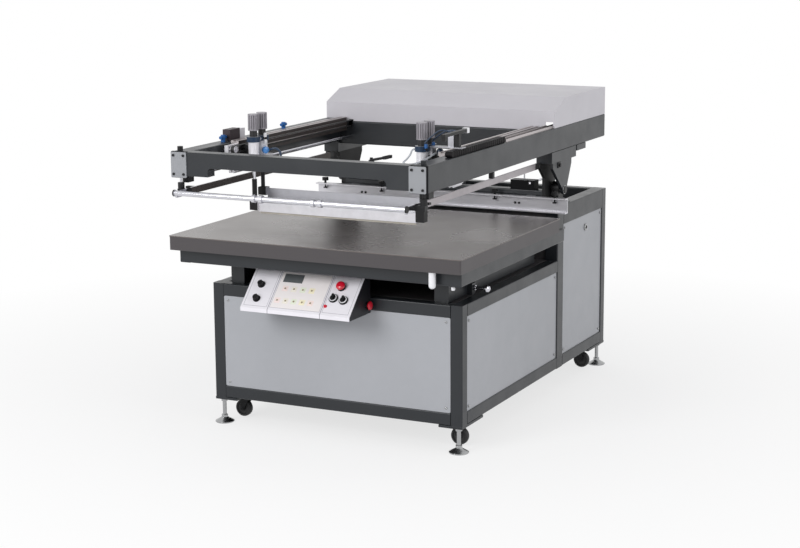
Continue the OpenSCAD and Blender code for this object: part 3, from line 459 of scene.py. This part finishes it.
def bearing_zones():
    """Bright fittings of the right block, and the white end of its hose bar."""
    return [
        (SILVER, {"X": outside(157), "Z": z_from(1034.2, 1067)}),
        (SILVER, {"X": (inset(82.5), inset(58)), "Z": z_from(1060, 1116)}),
        (WHITE, {"Y": y_from(128, 151), "Z": above(1110)}),
    ]


def stop_rod_zones():
    """The rod before, behind and over its black block is bright."""
    return [
        (CHROME, {"Y": (-FAR, back(1004.5))}),
        (CHROME, {"Y": (back(1063), FAR)}),
        (CHROME, {"Z": above(808.2)}),
    ]


# Control panel's places across and up its slope in millimetres, and its limits in metres
KEY_W = 14
# Each row of keys: its start, its pitch, its height up the slope and its number of keys
KEY_ROWS = [(-161, 39, 96, 4), (-176, 36.5, 40, 5)]
KEY_TINTS = [rgb(238, 222, 219), rgb(233, 228, 218), rgb(226, 231, 214), rgb(238, 231, 204),
             rgb(239, 223, 218)]
KEY_MARK = shade(138, 126, 96, 0.4)
KEY_R = 8
KEY_PAD_R = 12.5
KEY_MARK_R = 3.6
SELECTORS = [(67, 78), (112, 73)]
SELECTOR_TOP = 12.3
STOP_COLLAR = (83, 131)
STOP_COLLAR_R = 18
LAMP = (45, 40)
LAMP_R = 8
DISPLAY = shade(92, 96, 98, 0.16)
DISPLAY_LIMITS = {"X": (-0.176, -0.092), "P": (0.130, 0.172)}
FIELDS = [(-0.306, -0.204), (-0.190, 0.028), (0.040, 0.152)]
FIELD_RISE = (0.012, 0.180)
FIELD_GROOVES = (-0.196, 0.034)
RIGHT_CHEEK = (PANEL_MID + PANEL_W / 2 + 0.0001, FAR)


def around(x, s, r):
    """Limits of a square on the panel, r millimetres to each side of a place."""
    return {"X": ((x - r) / 1000, (x + r) / 1000), "P": ((s - r) / 1000, (s + r) / 1000)}


def key_places():
    """The middle of each key on the panel, with its tint."""
    return [(start + i * pitch + KEY_W / 2, s + KEY_W / 2, Finish(KEY_TINTS[i], 0.4, 0))
            for start, pitch, s, count in KEY_ROWS for i in range(count)]


def panel_zones():
    """Display, tinted keys with their marks, lamp, and what is black beside them."""
    zones = [(DISPLAY, DISPLAY_LIMITS)]
    for x, p, tint in key_places():
        zones.append((tint, around(x, p, KEY_R)))
        zones.append((KEY_MARK, around(x, p, KEY_MARK_R)))
    zones.append((RED, around(*LAMP, LAMP_R)))
    zones.append((BLACK, around(*STOP_COLLAR, STOP_COLLAR_R)))
    zones.append((BLACK, {"X": RIGHT_CHEEK}))
    return zones


def fascia_film():
    """White film with a thin grey outline round each of its three fields."""
    s = Surface("fascia_film", shade(228, 226, 232, 0.36), specular=0.4, edge=FINE_EDGE)
    line = shade(150, 148, 158, 0.4)
    groove = shade(120, 116, 128, 0.5)
    line_half = 0.0007
    groove_half = 0.0011
    s.zone(shade(233, 228, 228, 0.34), X=FIELDS[1], P=FIELD_RISE)
    for x, p, tint in key_places():
        s.zone(tint, **around(x, p, KEY_PAD_R))
    for field in FIELDS:
        for x in field:
            s.zone(line, X=(x - line_half, x + line_half), P=FIELD_RISE)
        for p in FIELD_RISE:
            s.zone(line, X=field, P=(p - line_half, p + line_half))
    for x in FIELD_GROOVES:
        s.zone(groove, X=(x - groove_half, x + groove_half))
    s.uneven(14, 0.97, 1.02)
    s.grain(1500, 0.00003)
    return s.done()


# Table: heights where its face begins and where painted shade on its sides ends, and its suction
# holes in metres
TABLE_FACE = 689
TABLE_SHADE_TOP = 686
HOLE_PITCH = 0.025
HOLE_R = 0.0008
HOLE_SOFT = 0.0001


def table_steel():
    """Ground steel face with rows of fine suction holes, and painted shade on its sides below it.
    """
    s = Surface("table_steel", shade(113, 107, 105, 0.28, 0.72))
    s.uneven(1.6, 0.92, 1.08)
    s.uneven(7, 0.97, 1.03, (0.4, 1, 1))
    s.uneven(260, 0.97, 1.02, (0.02, 1, 1))
    squares = []
    for axis in "XY":
        off = s.from_row(axis, HOLE_PITCH)
        squares.append(s.math("MULTIPLY", off, off))
    near = s.math("SQRT", s.math("ADD", *squares))
    hole = s.ramp(near, HOLE_R - HOLE_SOFT, HOLE_R + HOLE_SOFT, 1, 0)
    field = s.inside(X=(-0.56, 0.56), Y=y_from(-120, 740), Z=above(TABLE_FACE))
    s.tint(s.math("MULTIPLY", hole, field), rgb(40, 38, 38))
    # Painted shade: the slab's sides, below its top edge, are darker
    s.zone(shade(64, 60, 62, 0.45), Z=below(TABLE_SHADE_TOP))
    s.grain(300, 0.000008, (0.02, 1, 1))
    return s.done(0.04, 3)


def clear_plastic():
    s = Surface("clear_hose", shade(214, 218, 224, 0.2), edge=0.0003)
    s.shader.inputs["Transmission Weight"].default_value = 0.55
    s.uneven(40, 0.96, 1.04)
    s.grain(900, 0.00002)
    return s.done(0.03)


# Where the squeegee's and flood bar's ends begin, in metres, and heights where their rods change
SQUEEGEE_END = 0.3462
FLOOD_BEND = 925
SLEEVE_TOP = 900


def make_materials():
    """Every look by the name that nodes and pieces take it with."""
    bar_ends = (SQUEEGEE_END, FAR)
    m = {}
    m["charcoal"] = powder_coat("charcoal_coat", CHARCOAL.colour)
    m["charcoal_dark"] = powder_coat("dark_coat", rgb(34, 34, 38))
    # Painted shade: the brackets' inner faces, towards the middle, are near black
    m["brackets"] = zoned("bracket_coat", CHARCOAL, [(PAINTED_BRACKET_SHADE, {"S": within(60)})], 0.42)
    m["panel"] = sheet_enamel("panel_enamel", rgb(164, 166, 171))
    m["cover"] = sheet_enamel("cover_enamel", rgb(198, 196, 202))
    m["end_plate"] = sheet_enamel("end_plate_enamel", rgb(143, 145, 149), 0.3)
    m["deck"] = powder_coat("deck_enamel", rgb(52, 50, 52), 0.6)
    m["chrome"] = bright_metal("chrome", CHROME)
    m["steel"] = bright_metal("zinc_steel", STEEL)
    m["aluminium_x"] = bright_metal("aluminium_x", shade(205, 204, 209, 0.36, 0.55), (0.02, 1, 1))
    # Painted shade and dark reflection on the beams' inner faces
    m["beams"] = zoned("beam_aluminium", shade(178, 172, 172, 0.34, 0.7),
                       [(PAINTED_INNER_SHADE, {"S": within(114.7), "Z": below(1046.5)})])
    m["aluminium"] = bright_metal("aluminium", shade(196, 195, 200, 0.36, 0.7), (1, 1, 0.05))
    m["black"] = moulded("black_plastic", BLACK, specular=0.25)
    m["black_metal"] = powder_coat("black_metal", BLACK.colour, 0.45, 0.25)
    m["rubber"] = moulded("black_rubber", shade(24, 24, 26, 0.6), 0.00015)
    m["blade"] = moulded("blade_rubber", shade(196, 190, 178, 0.4))
    m["white"] = moulded("white_plastic", WHITE, coat=0.3)
    m["red"] = moulded("red_plastic", RED, coat=0.4)
    m["blue"] = moulded("blue_fitting", BLUE, coat=0.2)
    m["blower"] = powder_coat("blower_coat", rgb(96, 99, 108), 0.5)
    m["clear"] = clear_plastic()
    m["table"] = table_steel()
    m["fascia"] = fascia_film()
    m["fittings"] = zoned("panel_fitting", BLACK, panel_zones())
    m["cylinders"] = cylinder_finish()
    m["chain"] = moulded("chain_nylon", shade(20, 18, 20, 0.6), specular=0.15)
    m["cap"] = moulded("arm_end_dark", shade(16, 17, 20, 0.7), specular=0.08)
    m["pins"] = zoned("pin_head", STEEL, [(BLACK, {"S": outside(9.9)})])
    m["tray"] = bright_metal("tray_aluminium", shade(186, 180, 180, 0.36, 0.6), (1, 0.02, 1))
    m["knob_blue"] = moulded("knob_blue", shade(62, 128, 196, 0.3), coat=0.3)
    m["navy"] = moulded("navy_hose", NAVY, coat=0.2)
    m["holder"] = zoned("squeegee_clamp", PALE_METAL, [(BLACK, {"S": bar_ends})])
    m["rods"] = zoned("sleeved_rod", CHROME, [(BLACK, {"Z": below(SLEEVE_TOP)})])
    m["flood"] = zoned("flood_steel", SILVER, [(BLACK, {"S": bar_ends, "Z": below(FLOOD_BEND)}),
                                               (CHROME, {"S": bar_ends, "Z": above(FLOOD_BEND)})])
    m["safety"] = zoned("safety_chrome", CHROME, safety_bar_zones())
    m["arm_fittings"] = zoned("arm_fitting", PALE_METAL, arm_fitting_zones())
    m["bearings"] = zoned("bearing_black", BLACK, bearing_zones())
    m["stop_rod"] = zoned("stop_block", BLACK, stop_rod_zones(), 0.08)
    return m


# The look of each node; what isn't named here is black plastic
NODE_LOOKS = {
    "base_posts": "charcoal", "base_rails": "charcoal", "cross_rails": "charcoal",
    "mounting_plates": "charcoal", "levelling_feet": "steel", "body_panels": "panel",
    "base_deck": "deck", "pillow_blocks": "black_metal", "lift_cylinder": "aluminium",
    "vacuum_blower": "blower", "control_box": "charcoal_dark", "control_fascia": "fascia",
    "panel_fittings": "fittings", "stop_button": "red", "side_button": "red",
    "table_subframe": "charcoal", "table_top": "table", "table_handle": "white",
    "registration_knob": "chrome", "lift_rod": "chrome", "head_arms": "charcoal",
    "front_beam": "charcoal", "rear_beam": "charcoal", "head_cover": "cover",
    "end_plates": "end_plate", "swing_brackets": "brackets", "pivot_pins": "pins",
    "hinge_tube": "charcoal", "clamp_rail": "aluminium_x", "head_screws": "black_metal",
    "guide_beams": "beams", "guide_shafts": "chrome", "drive_motor": "blower",
    "drive_pulley": "aluminium", "belt_idler": "aluminium", "drive_belt": "rubber",
    "arm_fittings": "arm_fittings", "stop_rod": "stop_rod", "safety_bar": "safety",
    "carriage_beam": "aluminium_x", "bearing_blocks": "bearings",
    "print_cylinders": "cylinders", "energy_chain": "chain", "squeegee_holder": "holder",
    "squeegee_rods": "rods", "squeegee_blade": "blade", "flood_bar": "flood",
}
NAME_LOOKS = {"caster_wheel": "rubber", "caster_fork": "black_metal"}


def dress_nodes():
    """Gives each node of the part its look."""
    for name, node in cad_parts.items():
        look = NODE_LOOKS.get(name, "black")
        for start, other in NAME_LOOKS.items():
            if name.startswith(start):
                look = other
        node.data.materials.clear()
        node.data.materials.append(looks[look])


# Small pieces that the solids leave to this script
UPWARD = (0, 0, 1)
DOWNWARD = (0, 0, -1)
FORWARD = (0, -1, 0)
REARWARD = (0, 1, 0)
SHARP_ANGLE = math.radians(38)


def circle(count):
    """Angles of points spaced evenly round a turn."""
    return [2 * math.pi * i / count for i in range(count)]


class Shape:
    """Mesh faces of one piece, gathered in metres."""

    def __init__(self):
        self.mesh = bmesh.new()

    def turned(self, profile, at, direction, sides=20):
        """Turns pairs of radius and height, in millimetres, about a direction."""
        turn = Vector(direction).to_track_quat("Z", "Y")
        rings = []
        for radius, height in profile:
            points = [Vector((radius * math.cos(a), radius * math.sin(a), height)) / 1000
                      for a in circle(sides if radius else 1)]
            rings.append([self.mesh.verts.new(Vector(at) + turn @ p) for p in points])
        for low, high in zip(rings, rings[1:]):
            for i in range(sides):
                j = (i + 1) % sides
                corners = [low[i % len(low)], low[j % len(low)],
                           high[j % len(high)], high[i % len(high)]]
                face = list(dict.fromkeys(corners))
                if len(face) > 2:
                    self.mesh.faces.new(face)

    def block(self, low, high, edge):
        """A block between two corners, with its edges rounded by some millimetres."""
        low, high = Vector(low), Vector(high)
        place = Matrix.Translation((low + high) / 2) @ Matrix.Diagonal((*(high - low), 1))
        made = bmesh.ops.create_cube(self.mesh, size=1, matrix=place)
        edges = list(dict.fromkeys(e for v in made["verts"] for e in v.link_edges))
        bmesh.ops.bevel(self.mesh, geom=edges, offset=edge / 1000, segments=2, affect="EDGES",
                        profile=0.5)

    def hose(self, points, radius, sides=10, steps=8):
        """A round hose on a smooth curve through points, radius in millimetres."""
        path = smooth_path([Vector(p) for p in points], steps)
        rings = []
        side = None
        for i, p in enumerate(path):
            ahead = (path[min(i + 1, len(path) - 1)] - path[max(i - 1, 0)]).normalized()
            if side is None:
                side = ahead.orthogonal()
            side = (side - ahead * side.dot(ahead)).normalized()
            other = ahead.cross(side)
            spokes = [(side * math.cos(a) + other * math.sin(a)) * radius / 1000
                      for a in circle(sides)]
            rings.append([self.mesh.verts.new(p + spoke) for spoke in spokes])
        for low, high in zip(rings, rings[1:]):
            for k in range(sides):
                j = (k + 1) % sides
                self.mesh.faces.new([low[k], low[j], high[j], high[k]])
        self.mesh.faces.new(rings[0])
        self.mesh.faces.new(rings[-1])

    def piece(self, name, body, look, slot):
        """Makes the piece, which rides a body and takes a look; the slot is not used."""
        bmesh.ops.recalc_face_normals(self.mesh, faces=self.mesh.faces)
        self.mesh.verts.index_update()
        # Sorted, because a bevel can list its faces in another order from run to run
        faces = sorted([v.index for v in face.verts] for face in self.mesh.faces)
        mesh = bpy.data.meshes.new(name)
        mesh.from_pydata([v.co for v in self.mesh.verts], [], faces)
        self.mesh.free()
        mesh.shade_smooth()
        mesh.set_sharp_from_angle(angle=SHARP_ANGLE)
        mesh.materials.append(looks[look])
        obj = bpy.data.objects.new(name, mesh)
        bpy.context.collection.objects.link(obj)
        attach(obj, body)


def smooth_path(points, steps):
    """Catmull-Rom curve through the points."""
    ends = [2 * points[0] - points[1]] + points + [2 * points[-1] - points[-2]]
    path = []
    for a, b, c, d in zip(ends, ends[1:], ends[2:], ends[3:]):
        for k in range(steps):
            t = k / steps
            path.append(0.5 * (2 * b + (c - a) * t + (2 * a - 5 * b + 4 * c - d) * t ** 2
                               + (3 * b - a - 3 * c + d) * t ** 3))
    return path + [points[-1]]


def from_base(route):
    """Points given in millimetres in from the side, behind the front and over the underside."""
    return [Vector((inset(d), back(y), up(z))) for d, y, z in route]


# Profiles for turned pieces, as radius and height
BUTTON_HEAD = [(0, -1), (5.2, -1), (5.2, 0.6), (4.6, 1.8), (3.4, 2.6), (2.0, 2.9), (1.9, 1.2),
               (0, 1.1)]
SOCKET_HEAD = [(0, -1), (5.2, -1), (5.2, 2.4), (4.6, 3), (2.6, 3), (2.4, 1.2), (0, 1.2)]
HEX_BOLT = [(0, -1), (8.0, -1), (8.0, 5.2), (7.2, 5.8), (0, 5.8)]
WASHER = [(0, -1), (10.5, -1), (10.5, 1.2), (10.0, 1.6), (0, 1.6)]
PIN_WASHER = [(15, 0), (18.5, 0), (18.5, 1.4), (17.8, 2), (15, 2)]
CLAMP_PAD = [(0, 0), (3, 0), (3, 12), (9, 14), (9, 18), (0, 18)]
LATCH_RING = [(9, -1), (15.5, -1), (15.5, 1.4), (14.4, 2.8), (10.6, 3.2), (9, 1.6)]
LATCH_PLUG = [(0, -1), (9.2, -1), (9.2, 1.8), (4.2, 2.2), (4.2, 5.4), (3.2, 6), (0, 6)]
INDEX_RING = [(12.6, 0), (12.6, 0.7), (14.7, 0.7), (15.2, 0.2), (15.2, -2.5), (12.6, -2.5),
              (12.6, 0)]
ELBOW_BODY = [(0, -2), (5.6, -2), (5.6, 13), (4.4, 14.5), (0, 14.5)]
ELBOW = [(0, 0), (5.4, 0), (5.4, 9), (6.6, 10), (6.6, 21), (5.8, 22), (5.8, 24), (4.2, 25),
         (4.0, 22), (0, 22)]
FLOW_KNOB = [(0, 0), (6, 0), (6, 6), (12.5, 8), (14, 11), (14, 20), (12.5, 23), (8, 24.5), (0, 25)]
VENT_CAP = [(0, -2), (12, -2), (13.5, 3), (13.5, 14), (11, 19), (6, 22), (0, 23)]
STOP_KNOB = [(0, 1), (3.5, 1), (3.5, -4), (7, -5), (7.5, -8), (7.5, -14), (6, -17), (0, -18)]

# Sheet panels: their recess, their frame's tubes and where each one ends, in millimetres
RECESS = 2
CORNER = 18
FRONT_TUBE = 50
REAR_TUBE = 60
LOW_PANEL_TOP = 423
HIGH_PANEL_TOP = 620
FRONT_BAY = (50, 990)
REAR_BAY = (1060, 1535)
BASE_BACK = 1585


def panel_screws():
    """Button-head screws at the corners of the sheet panels."""
    shape = Shape()

    def screw(x, y, z, direction):
        shape.turned(BUTTON_HEAD, (x, back(y), up(z)), direction, 18)

    def side_screws(x, bay, z):
        for y in (bay[0] + CORNER, bay[1] - CORNER):
            screw(x * inset(RECESS), y, z, (x, 0, 0))

    low_z = FRONT_TUBE + CORNER
    for x in (-1, 1):
        for z in (low_z, LOW_PANEL_TOP - CORNER):
            screw(x * inset(FRONT_TUBE + CORNER), RECESS, z, FORWARD)
            side_screws(x, FRONT_BAY, z)
        for z in (low_z, HIGH_PANEL_TOP - CORNER):
            screw(x * inset(REAR_TUBE + CORNER), BASE_BACK - RECESS, z, REARWARD)
            side_screws(x, REAR_BAY, z)
    shape.piece("panel_screws", "base", "steel", "steel")


def panel_latches():
    """Quarter-turn latches of the rear side panels: a rosette round a dark key socket."""
    rosette = Shape()
    socket = Shape()
    for x in (-1, 1):
        at = (x * inset(RECESS), back(1333), up(565))
        rosette.turned(LATCH_RING, at, (x, 0, 0), 28)
        socket.turned(LATCH_PLUG, at, (x, 0, 0), 28)
    rosette.piece("latch_rosettes", "base", "steel", "steel")
    socket.piece("latch_sockets", "base", "black", "black_plastic")


def selector_rings():
    """White index rings round the grips of the two selectors."""
    for (x, s), side in zip(SELECTORS, ("left", "right")):
        shape = Shape()
        shape.turned(INDEX_RING, slope(x, s, SELECTOR_TOP), PANEL_OUT, 32)
        shape.piece("selector_ring_" + side, "selector_" + side, "white", "white_plastic")


def pillow_bolts():
    """Hex bolts with washers through the feet of the hinge blocks."""
    shape = Shape()
    foot_top = 724
    bolt_off = 35
    washer_t = 1.5
    for x in (-1, 1):
        for y in (PIVOT_BACK - bolt_off, PIVOT_BACK + bolt_off):
            at = (x * inset(45), back(y))
            shape.turned(WASHER, (*at, up(foot_top)), UPWARD, 24)
            shape.turned(HEX_BOLT, (*at, up(foot_top + washer_t)), UPWARD, 6)
    shape.piece("pillow_bolts", "base", "steel", "steel")


def bracket_clamps():
    """Adjusting blocks on the swing brackets, each with its bolt."""
    shape = Shape()
    root = inset(ARM_INSET + 1)
    face = inset(ARM_INSET - 3)
    for x in (-1, 1):
        low_x, high_x = sorted((x * root, x * face))
        shape.block((low_x, back(1003), up(868)), (high_x, back(1037), up(893)), 0.8)
        shape.turned(HEX_BOLT, (x * face, back(1020), up(880)), (x, 0, 0), 6)
    shape.piece("bracket_clamps", "head", "black", "black_metal")


def pin_washers():
    """Bright washers behind the heads of the hinge pins."""
    shape = Shape()
    for x in (-1, 1):
        at = (x * inset(ARM_INSET + 0.5), back(PIVOT_BACK), up(PIVOT_UP))
        shape.turned(PIN_WASHER, at, (x, 0, 0), 32)
    shape.piece("pin_washers", "head", "steel", "steel")


def arm_caps():
    """Dark, almost matt collars round the arms' front ends, behind the end plates."""
    shape = Shape()
    length = 15
    proud = 0.8
    for x in (-1, 1):
        low_x, high_x = sorted((x * inset(ARM_INSET - 1), x * inset(79.5)))
        shape.block((low_x, back(ARM_FRONT), up(ARM_LOW - proud)),
                    (high_x, back(ARM_FRONT + length), up(ARM_TOP + proud)), 1.5)
    shape.piece("arm_caps", "head", "cap", "black_plastic")


# Clamp rail: its knobbed bolts across the machine, the face of its web and its screws
CLAMP_KNOBS = (-553, -273, 268, 542)
RAIL_WEB = 980
RAIL_SCREWS_IN = 183


def clamp_screws():
    """Dark socket screws in the clamp rail's web, and the pads under its knobbed bolts."""
    shape = Shape()
    for x in (-1, 1):
        for dx in (-9, 9):
            at = (x * inset(RAIL_SCREWS_IN) + dx / 1000, back(RAIL_WEB), up(714))
            shape.turned(SOCKET_HEAD, at, FORWARD, 20)
    for x in CLAMP_KNOBS:
        shape.turned(CLAMP_PAD, (x / 1000, back(967), up(742)), DOWNWARD, 20)
    shape.piece("clamp_screws", "head", "black_metal", "black_metal")


def chain_tray():
    """Open channel on the right arm that the energy chain is laid into, behind its last link; its
    aluminium floor is coloured black as painted shade inside the channel.
    """
    start, end = back(462), back(972)
    low_z = up(ARM_TOP - 1)
    walls = Shape()
    for low, high in ((50.6, 48.6), (19.4, 17.4)):
        walls.block((inset(low), start, low_z), (inset(high), end, up(1052)), 0.5)
    walls.piece("chain_tray", "head", "tray", "aluminium")
    # Black floor: painted shade inside the channel
    floor = Shape()
    floor.block((inset(49.0), start, low_z), (inset(19.0), end, up(ARM_TOP + 0.6)), 0.3)
    floor.piece("tray_floor_shade", "head", "black", "aluminium")


# Print cylinders: where their elbows point, and their collars' and barrels' radii in metres
OUTWARD = Vector((0.78, -0.62, 0))
COLLAR_R = 0.026
BARREL_R = 0.020


def air_fittings():
    """Push-in elbows on the collars of the print cylinders, and the knob and cap beside them."""
    dark, blue, white, knob, navy = (Shape() for _ in range(5))
    lift = Vector((0, 0, 0.004))

    def beside(x, y, z, direction, radius):
        """A place on the outside of a print cylinder."""
        return Vector((x * inset(CYLINDER_IN), back(y), up(z))) + direction * radius

    def elbow(x, y, barrel):
        """An elbow's body out of the collar; gives where its barrels stand."""
        root = beside(x, y, 1058, OUTWARD, COLLAR_R)
        dark.turned(ELBOW_BODY, root, OUTWARD, 18)
        middle = root + OUTWARD * 0.009
        barrel.turned(ELBOW, middle - lift, UPWARD, 18)
        return middle

    rear = CYLINDERS[1]
    middle = elbow(-1, rear, white)
    white.turned(ELBOW, middle + lift, DOWNWARD, 18)
    ahead = Vector((0.25, -0.97, 0))
    white.turned(ELBOW, beside(-1, rear, 1056, ahead, COLLAR_R), ahead, 18)
    knob.turned(FLOW_KNOB, beside(-1, rear, 1011, OUTWARD, BARREL_R), OUTWARD, 28)
    for y in CYLINDERS:
        elbow(1, y, blue)
    navy.turned(VENT_CAP, (inset(126), back(76), up(1034)), UPWARD, 28)
    dark.piece("fitting_bodies", "carriage", "black", "black_plastic")
    blue.piece("fitting_barrels", "carriage", "blue", "black_plastic")
    white.piece("fitting_elbows", "carriage", "white", "white_plastic")
    knob.piece("flow_knob", "carriage", "knob_blue", "black_plastic")
    navy.piece("vent_cap", "carriage", "navy", "black_plastic")


# Hoses: radii, and the points that two of them run through, for from_base
HOSE_R = 3
KNOB_HOSE_R = 4.5
CLEAR_HOSE_R = 3.5
KNOB_HOSE = [(870, 86, 1012), (856, 80, 1018), (840, 84, 1018), (829, 90, 1006), (826, 91, 994),
             (826, 91, 982)]
CLEAR_HOSE = [(209, 31, 1056), (219, 26, 1050), (224, 20, 1034), (233, 6, 1017), (238, -8, 1009),
              (230, -20, 1005), (208, -26, 1004), (180, -20, 1009), (154, -1, 1020),
              (139, 26, 1033), (134, 50, 1040), (133, 64, 1039), (133, 70, 1032)]


def air_hoses():
    """Hoses from the right cylinders to the hose bar, and from the left one's knob to the beam."""
    shape = Shape()
    for y, crown_up, end in ((37, 30, 40), (103, 22, 80)):
        start = Vector((inset(CYLINDER_IN), back(y), up(1076))) + OUTWARD * 0.035
        goal = Vector((inset(56), back(end), up(1122)))
        crown = (start + goal) / 2 + Vector((0, 0, crown_up / 1000))
        rise = start + Vector((0.001, 0, 0.012))
        shape.hose([start, rise, crown, goal + Vector((-0.014, 0, 0.004)), goal], HOSE_R)
    shape.hose(from_base(KNOB_HOSE), KNOB_HOSE_R)
    shape.piece("air_hoses", "carriage", "navy", "black_plastic")


def clear_hose():
    """Clear hose that hangs in a bend from the front cylinder's collar to the bearing block."""
    shape = Shape()
    shape.hose(from_base(CLEAR_HOSE), CLEAR_HOSE_R)
    shape.piece("clear_hose", "carriage", "clear", "white_plastic")


def stop_knob():
    """Small white knob under the table frame's right tube."""
    shape = Shape()
    shape.turned(STOP_KNOB, (inset(-18), back(-122), up(577)), UPWARD, 24)
    shape.piece("stop_knob", "table_slide", "white", "white_plastic")


# Stage: a pale floor that looks white to the camera and keeps the shadow, and soft lamps
FLOOR_HALF = 40
SHADOW_REACH = (1.0, 3.2)
NEAR_WHITE = 0.72
SKY_STRENGTH = 0.6
KEY_POWER = 155
FILL_POWER = 66


def make_stage():
    """The floor, a large square under the machine."""
    h = FLOOR_HALF
    mesh = bpy.data.meshes.new("floor")
    mesh.from_pydata([(-h, -h, 0), (h, -h, 0), (h, h, 0), (-h, h, 0)], [], [(0, 1, 2, 3)])
    floor = bpy.data.objects.new("floor", mesh)
    bpy.context.collection.objects.link(floor)
    mesh.materials.append(floor_material())


def floor_material():
    """Pale floor; to the camera it is white where no shadow falls, and wholly white far off."""
    s = Surface("floor", Finish((0.82, 0.82, 0.83), 0.95, 0), specular=0.2)
    s.uneven(0.6, 0.995, 1.005)
    s.done(0.02)
    glow = s.nodes.new("ShaderNodeEmission")
    path = s.nodes.new("ShaderNodeLightPath")
    near = s.nodes.new("ShaderNodeVectorMath")
    near.operation = "LENGTH"
    s.link(s.coords, near.inputs[0])
    share = s.ramp(near.outputs["Value"], *SHADOW_REACH, NEAR_WHITE, 1.0)
    direct = s.math("MAXIMUM", path.outputs["Is Camera Ray"], path.outputs["Is Glossy Ray"])
    seen = s.math("MULTIPLY", share, s.math("MAXIMUM", direct, path.outputs["Is Transmission Ray"]))
    mix = s.nodes.new("ShaderNodeMixShader")
    s.link(seen, mix.inputs[0])
    s.link(s.shader.outputs[0], mix.inputs[1])
    s.link(glow.outputs[0], mix.inputs[2])
    s.link(mix.outputs[0], s.nodes["Material Output"].inputs["Surface"])
    return s.material


def soft_lamp(name, at, aim, size, power):
    """A round area lamp at a place, turned to a point."""
    data = bpy.data.lights.new(name, "AREA")
    data.shape = "DISK"
    data.size = size
    data.energy = power
    lamp = bpy.data.objects.new(name, data)
    lamp.location = at
    lamp.rotation_mode = "QUATERNION"
    lamp.rotation_quaternion = (Vector(aim) - Vector(at)).to_track_quat("-Z", "Y")
    bpy.context.collection.objects.link(lamp)


def make_lights():
    """A plain sky that the camera, glossy and transmission rays see as white, and two lamps."""
    world = bpy.data.worlds.new("world")
    bpy.context.scene.world = world
    world.use_nodes = True
    nodes, links = world.node_tree.nodes, world.node_tree.links
    sky = nodes["Background"]
    seen = nodes.new("ShaderNodeBackground")
    for background, strength in ((sky, SKY_STRENGTH), (seen, 1)):
        background.inputs["Color"].default_value = (1, 1, 1, 1)
        background.inputs["Strength"].default_value = strength
    path = nodes.new("ShaderNodeLightPath")
    either = path.outputs["Is Camera Ray"]
    for ray in ("Is Glossy Ray", "Is Transmission Ray"):
        node = nodes.new("ShaderNodeMath")
        node.operation = "MAXIMUM"
        links.new(either, node.inputs[0])
        links.new(path.outputs[ray], node.inputs[1])
        either = node.outputs[0]
    mix = nodes.new("ShaderNodeMixShader")
    links.new(either, mix.inputs[0])
    links.new(sky.outputs[0], mix.inputs[1])
    links.new(seen.outputs[0], mix.inputs[2])
    links.new(mix.outputs[0], nodes["World Output"].inputs["Surface"])
    soft_lamp("key", (-1.6, -5.2, 3.0), (0, 0, 0.7), 2.8, KEY_POWER)
    soft_lamp("fill", (5.0, -1.5, 2.4), (0, 0, 0.6), 3.0, FILL_POWER)


looks = make_materials()
make_camera()
make_stage()
make_lights()
dress_nodes()
panel_screws()
panel_latches()
selector_rings()
pillow_bolts()
bracket_clamps()
pin_washers()
arm_caps()
clamp_screws()
chain_tray()
air_fittings()
air_hoses()
clear_hose()
stop_knob()
bpy.context.scene.view_settings.view_transform = "Standard"
